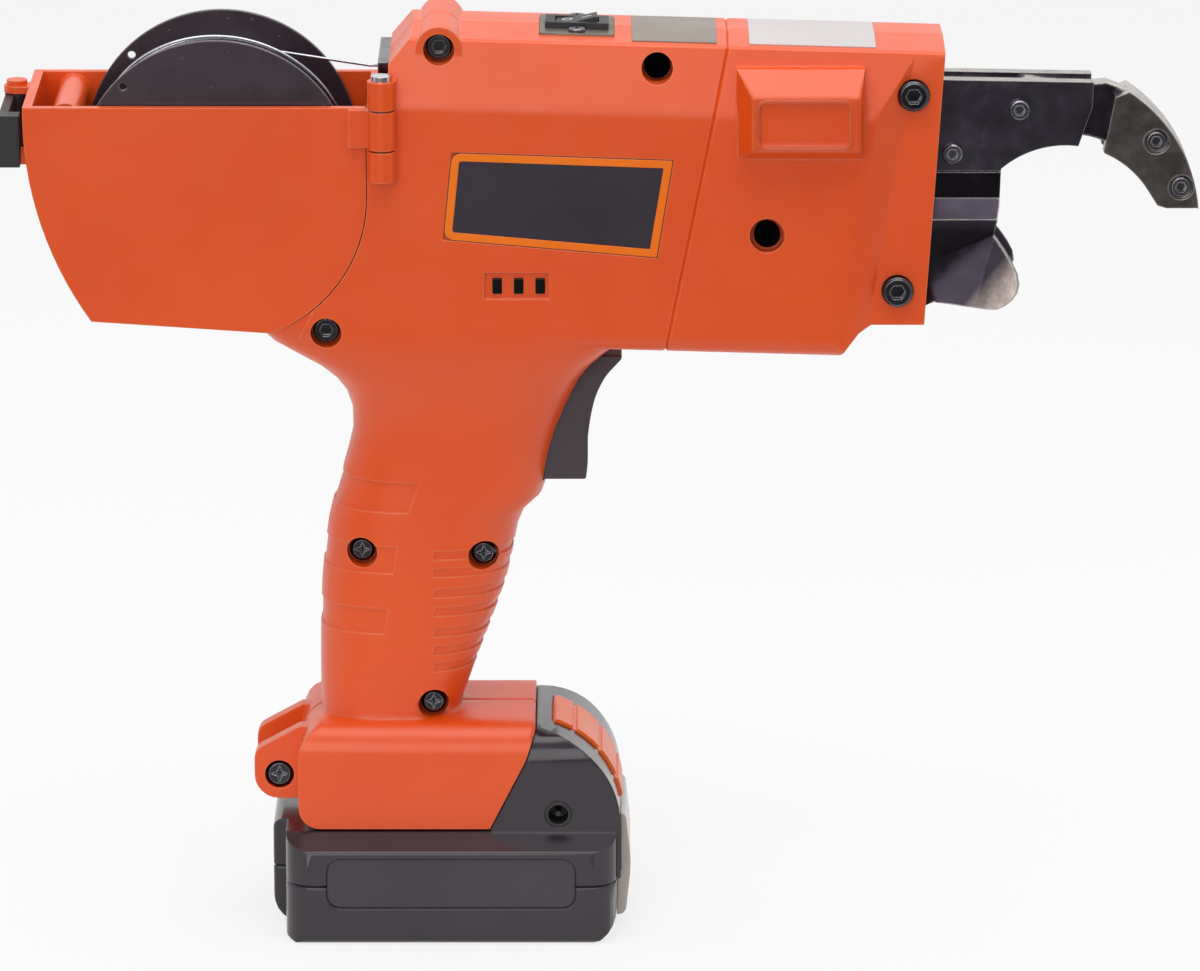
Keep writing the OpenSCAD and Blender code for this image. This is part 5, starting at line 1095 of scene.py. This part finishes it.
# Dressed pieces of the tool
for node, material in {
    "reel_door": ORANGE, "latch_pin": ORANGE, "release_button": BUTTON, "door_hinge_pin": ZINC,
    "door_latch": BLACK, "wire_reel": REEL_BLACK, "jaw_right_plate": JAW_PLATE,
    "jaw_left_plate": JAW_PLATE, "tip_right_plate": JAW_TIP, "tip_left_plate": JAW_TIP,
    "guide_right_cheek": GUIDE_STEEL, "guide_left_cheek": GUIDE_STEEL, "twist_hooks": BLACKENED,
    "jaw_core": JAW_CORE, "switch_body": BLACK, "rocker": BLACK, "switch_plate": SATIN,
    "indicator_lights": LENS, "pack_front_guard": GUARD, "charge_socket": BLACK,
}.items():
    dress(node, material)

# Pieces inside, left as they are
for node, material in {
    "wire_core": WIRE, "head_frame": CAST, "twist_bush": BRONZE, "twist_motor": CAN, "gearbox": CAST,
    "thrust_sleeve": GROUND, "twist_shaft": GROUND, "feed_motor": CAN, "feed_gearbox": BLACK,
    "feed_drive_gear": GROUND, "feed_idler_gear": GROUND, "idler_bracket": BLACK, "wire_tube": ZINC,
    "cutter_blade": GROUND, "trigger_switch": BLACK, "control_board": BOARD, "terminal_block": BLACK,
    "battery_cells": SLEEVE, "battery_contacts": BRASS, "release_spring": ZINC, "battery_screws": SCREW_BLACK,
}.items():
    paint(node, material)


# Stage: pale floor, soft lamps, white surroundings

# Floor: half its side, the dark room's colour and the white sheet's, its roughness, and the share of its glow
FLOOR_HALF = 8.0
ROOM_FLOOR = "606060"
SHEET_WHITE = "F2F2F2"
SHEET_ROUGHNESS = 0.8
SHEET_GLOW = 0.78
# Y over which the white sheet gives way to the darker room in front, outside the photograph's frame
SHEET_EDGE = (-0.55, -0.12)
# World: strength for soft light, least strength of the room seen in front of the tool, and the Y shares of a
# way where that room is darkest and where it has turned white
SKY_DIFFUSE = 0.43
ROOM_DARK = 0.4
ROOM_FROM = (-0.9, -0.1)
# Lamps: place, aim and side in metres, and power in watts
LAMPS = {
    "overhead": ((0.05, -0.2, 1.5), (0.04, 0, 0.15), 1.4, 16),
    "front_fill": ((-0.4, -1.8, 0.7), (0.04, 0, 0.12), 1.2, 11.5),
}


def ray_kinds(tree):
    """Whether a ray comes from the camera, and whether it comes from a mirror or through glass."""
    ray = add(tree, "ShaderNodeLightPath").outputs
    mirror = combine(tree, "ADD", ray["Is Glossy Ray"], ray["Is Transmission Ray"])
    return ray["Is Camera Ray"], mirror


def make_floor():
    """White sheet, seen as white by the camera and in mirrors, and still shaded by the tool."""
    material, tree, shader, place = surface("pale_floor")
    across = add(tree, "ShaderNodeSeparateXYZ", {0: place})
    sheet = fade(tree, across.outputs["Y"], SHEET_EDGE)
    tint = add(tree, "ShaderNodeMix", {"Factor": sheet, "A": linear(ROOM_FLOOR), "B": linear(SHEET_WHITE)},
               data_type="RGBA")
    tree.links.new(tint.outputs["Result"], shader.inputs["Base Color"])
    shader.inputs["Roughness"].default_value = SHEET_ROUGHNESS
    camera, mirror = ray_kinds(tree)
    on_sheet = combine(tree, "MULTIPLY", mirror, sheet)
    white = combine(tree, "ADD", camera, on_sheet, use_clamp=True)
    share = combine(tree, "MULTIPLY", white, SHEET_GLOW)
    glow = add(tree, "ShaderNodeEmission", {"Color": (1, 1, 1, 1), "Strength": 1.0})
    mix = add(tree, "ShaderNodeMixShader", {
        "Fac": share, 1: shader.outputs["BSDF"], 2: glow.outputs["Emission"]})
    output = next(n for n in tree.nodes if n.type == "OUTPUT_MATERIAL")
    tree.links.new(mix.outputs["Shader"], output.inputs["Surface"])
    mesh = bpy.data.meshes.new("floor")
    corner = Vector((FLOOR_HALF, FLOOR_HALF))
    mesh.from_pydata([(p.x, p.y, 0) for p in rectangle(-corner, corner)], [], [(0, 1, 2, 3)])
    mesh.materials.append(material)
    in_scene("floor", mesh)


def make_lamp(name, place, aim, size, power):
    """A square lamp that points at its aim."""
    lamp = bpy.data.lights.new(name, "AREA")
    lamp.size = size
    lamp.energy = power
    held = in_scene(name, lamp)
    held.location = place
    held.rotation_euler = (Vector(aim) - Vector(place)).to_track_quat("-Z", "Y").to_euler()


def make_world():
    """White all round and behind, with a darker room where the photographer stands."""
    world = bpy.data.worlds.new("studio")
    bpy.context.scene.world = world
    world.use_nodes = True
    tree = world.node_tree
    tree.nodes.clear()
    camera, mirror = ray_kinds(tree)
    white = combine(tree, "ADD", mirror, camera, use_clamp=True)
    way = add(tree, "ShaderNodeSeparateXYZ", {"Vector": add(tree, "ShaderNodeTexCoord").outputs["Generated"]})
    room = fade(tree, way.outputs["Y"], ROOM_FROM, ROOM_DARK)
    level = fade(tree, white, (0, 1), SKY_DIFFUSE, room)
    sky = add(tree, "ShaderNodeBackground", {"Color": (1, 1, 1, 1), "Strength": level})
    add(tree, "ShaderNodeOutputWorld", {"Surface": sky.outputs["Background"]})


make_floor()
for name, lamp in LAMPS.items():
    make_lamp(name, *lamp)
make_world()
bpy.context.scene.view_settings.view_transform = "Standard"
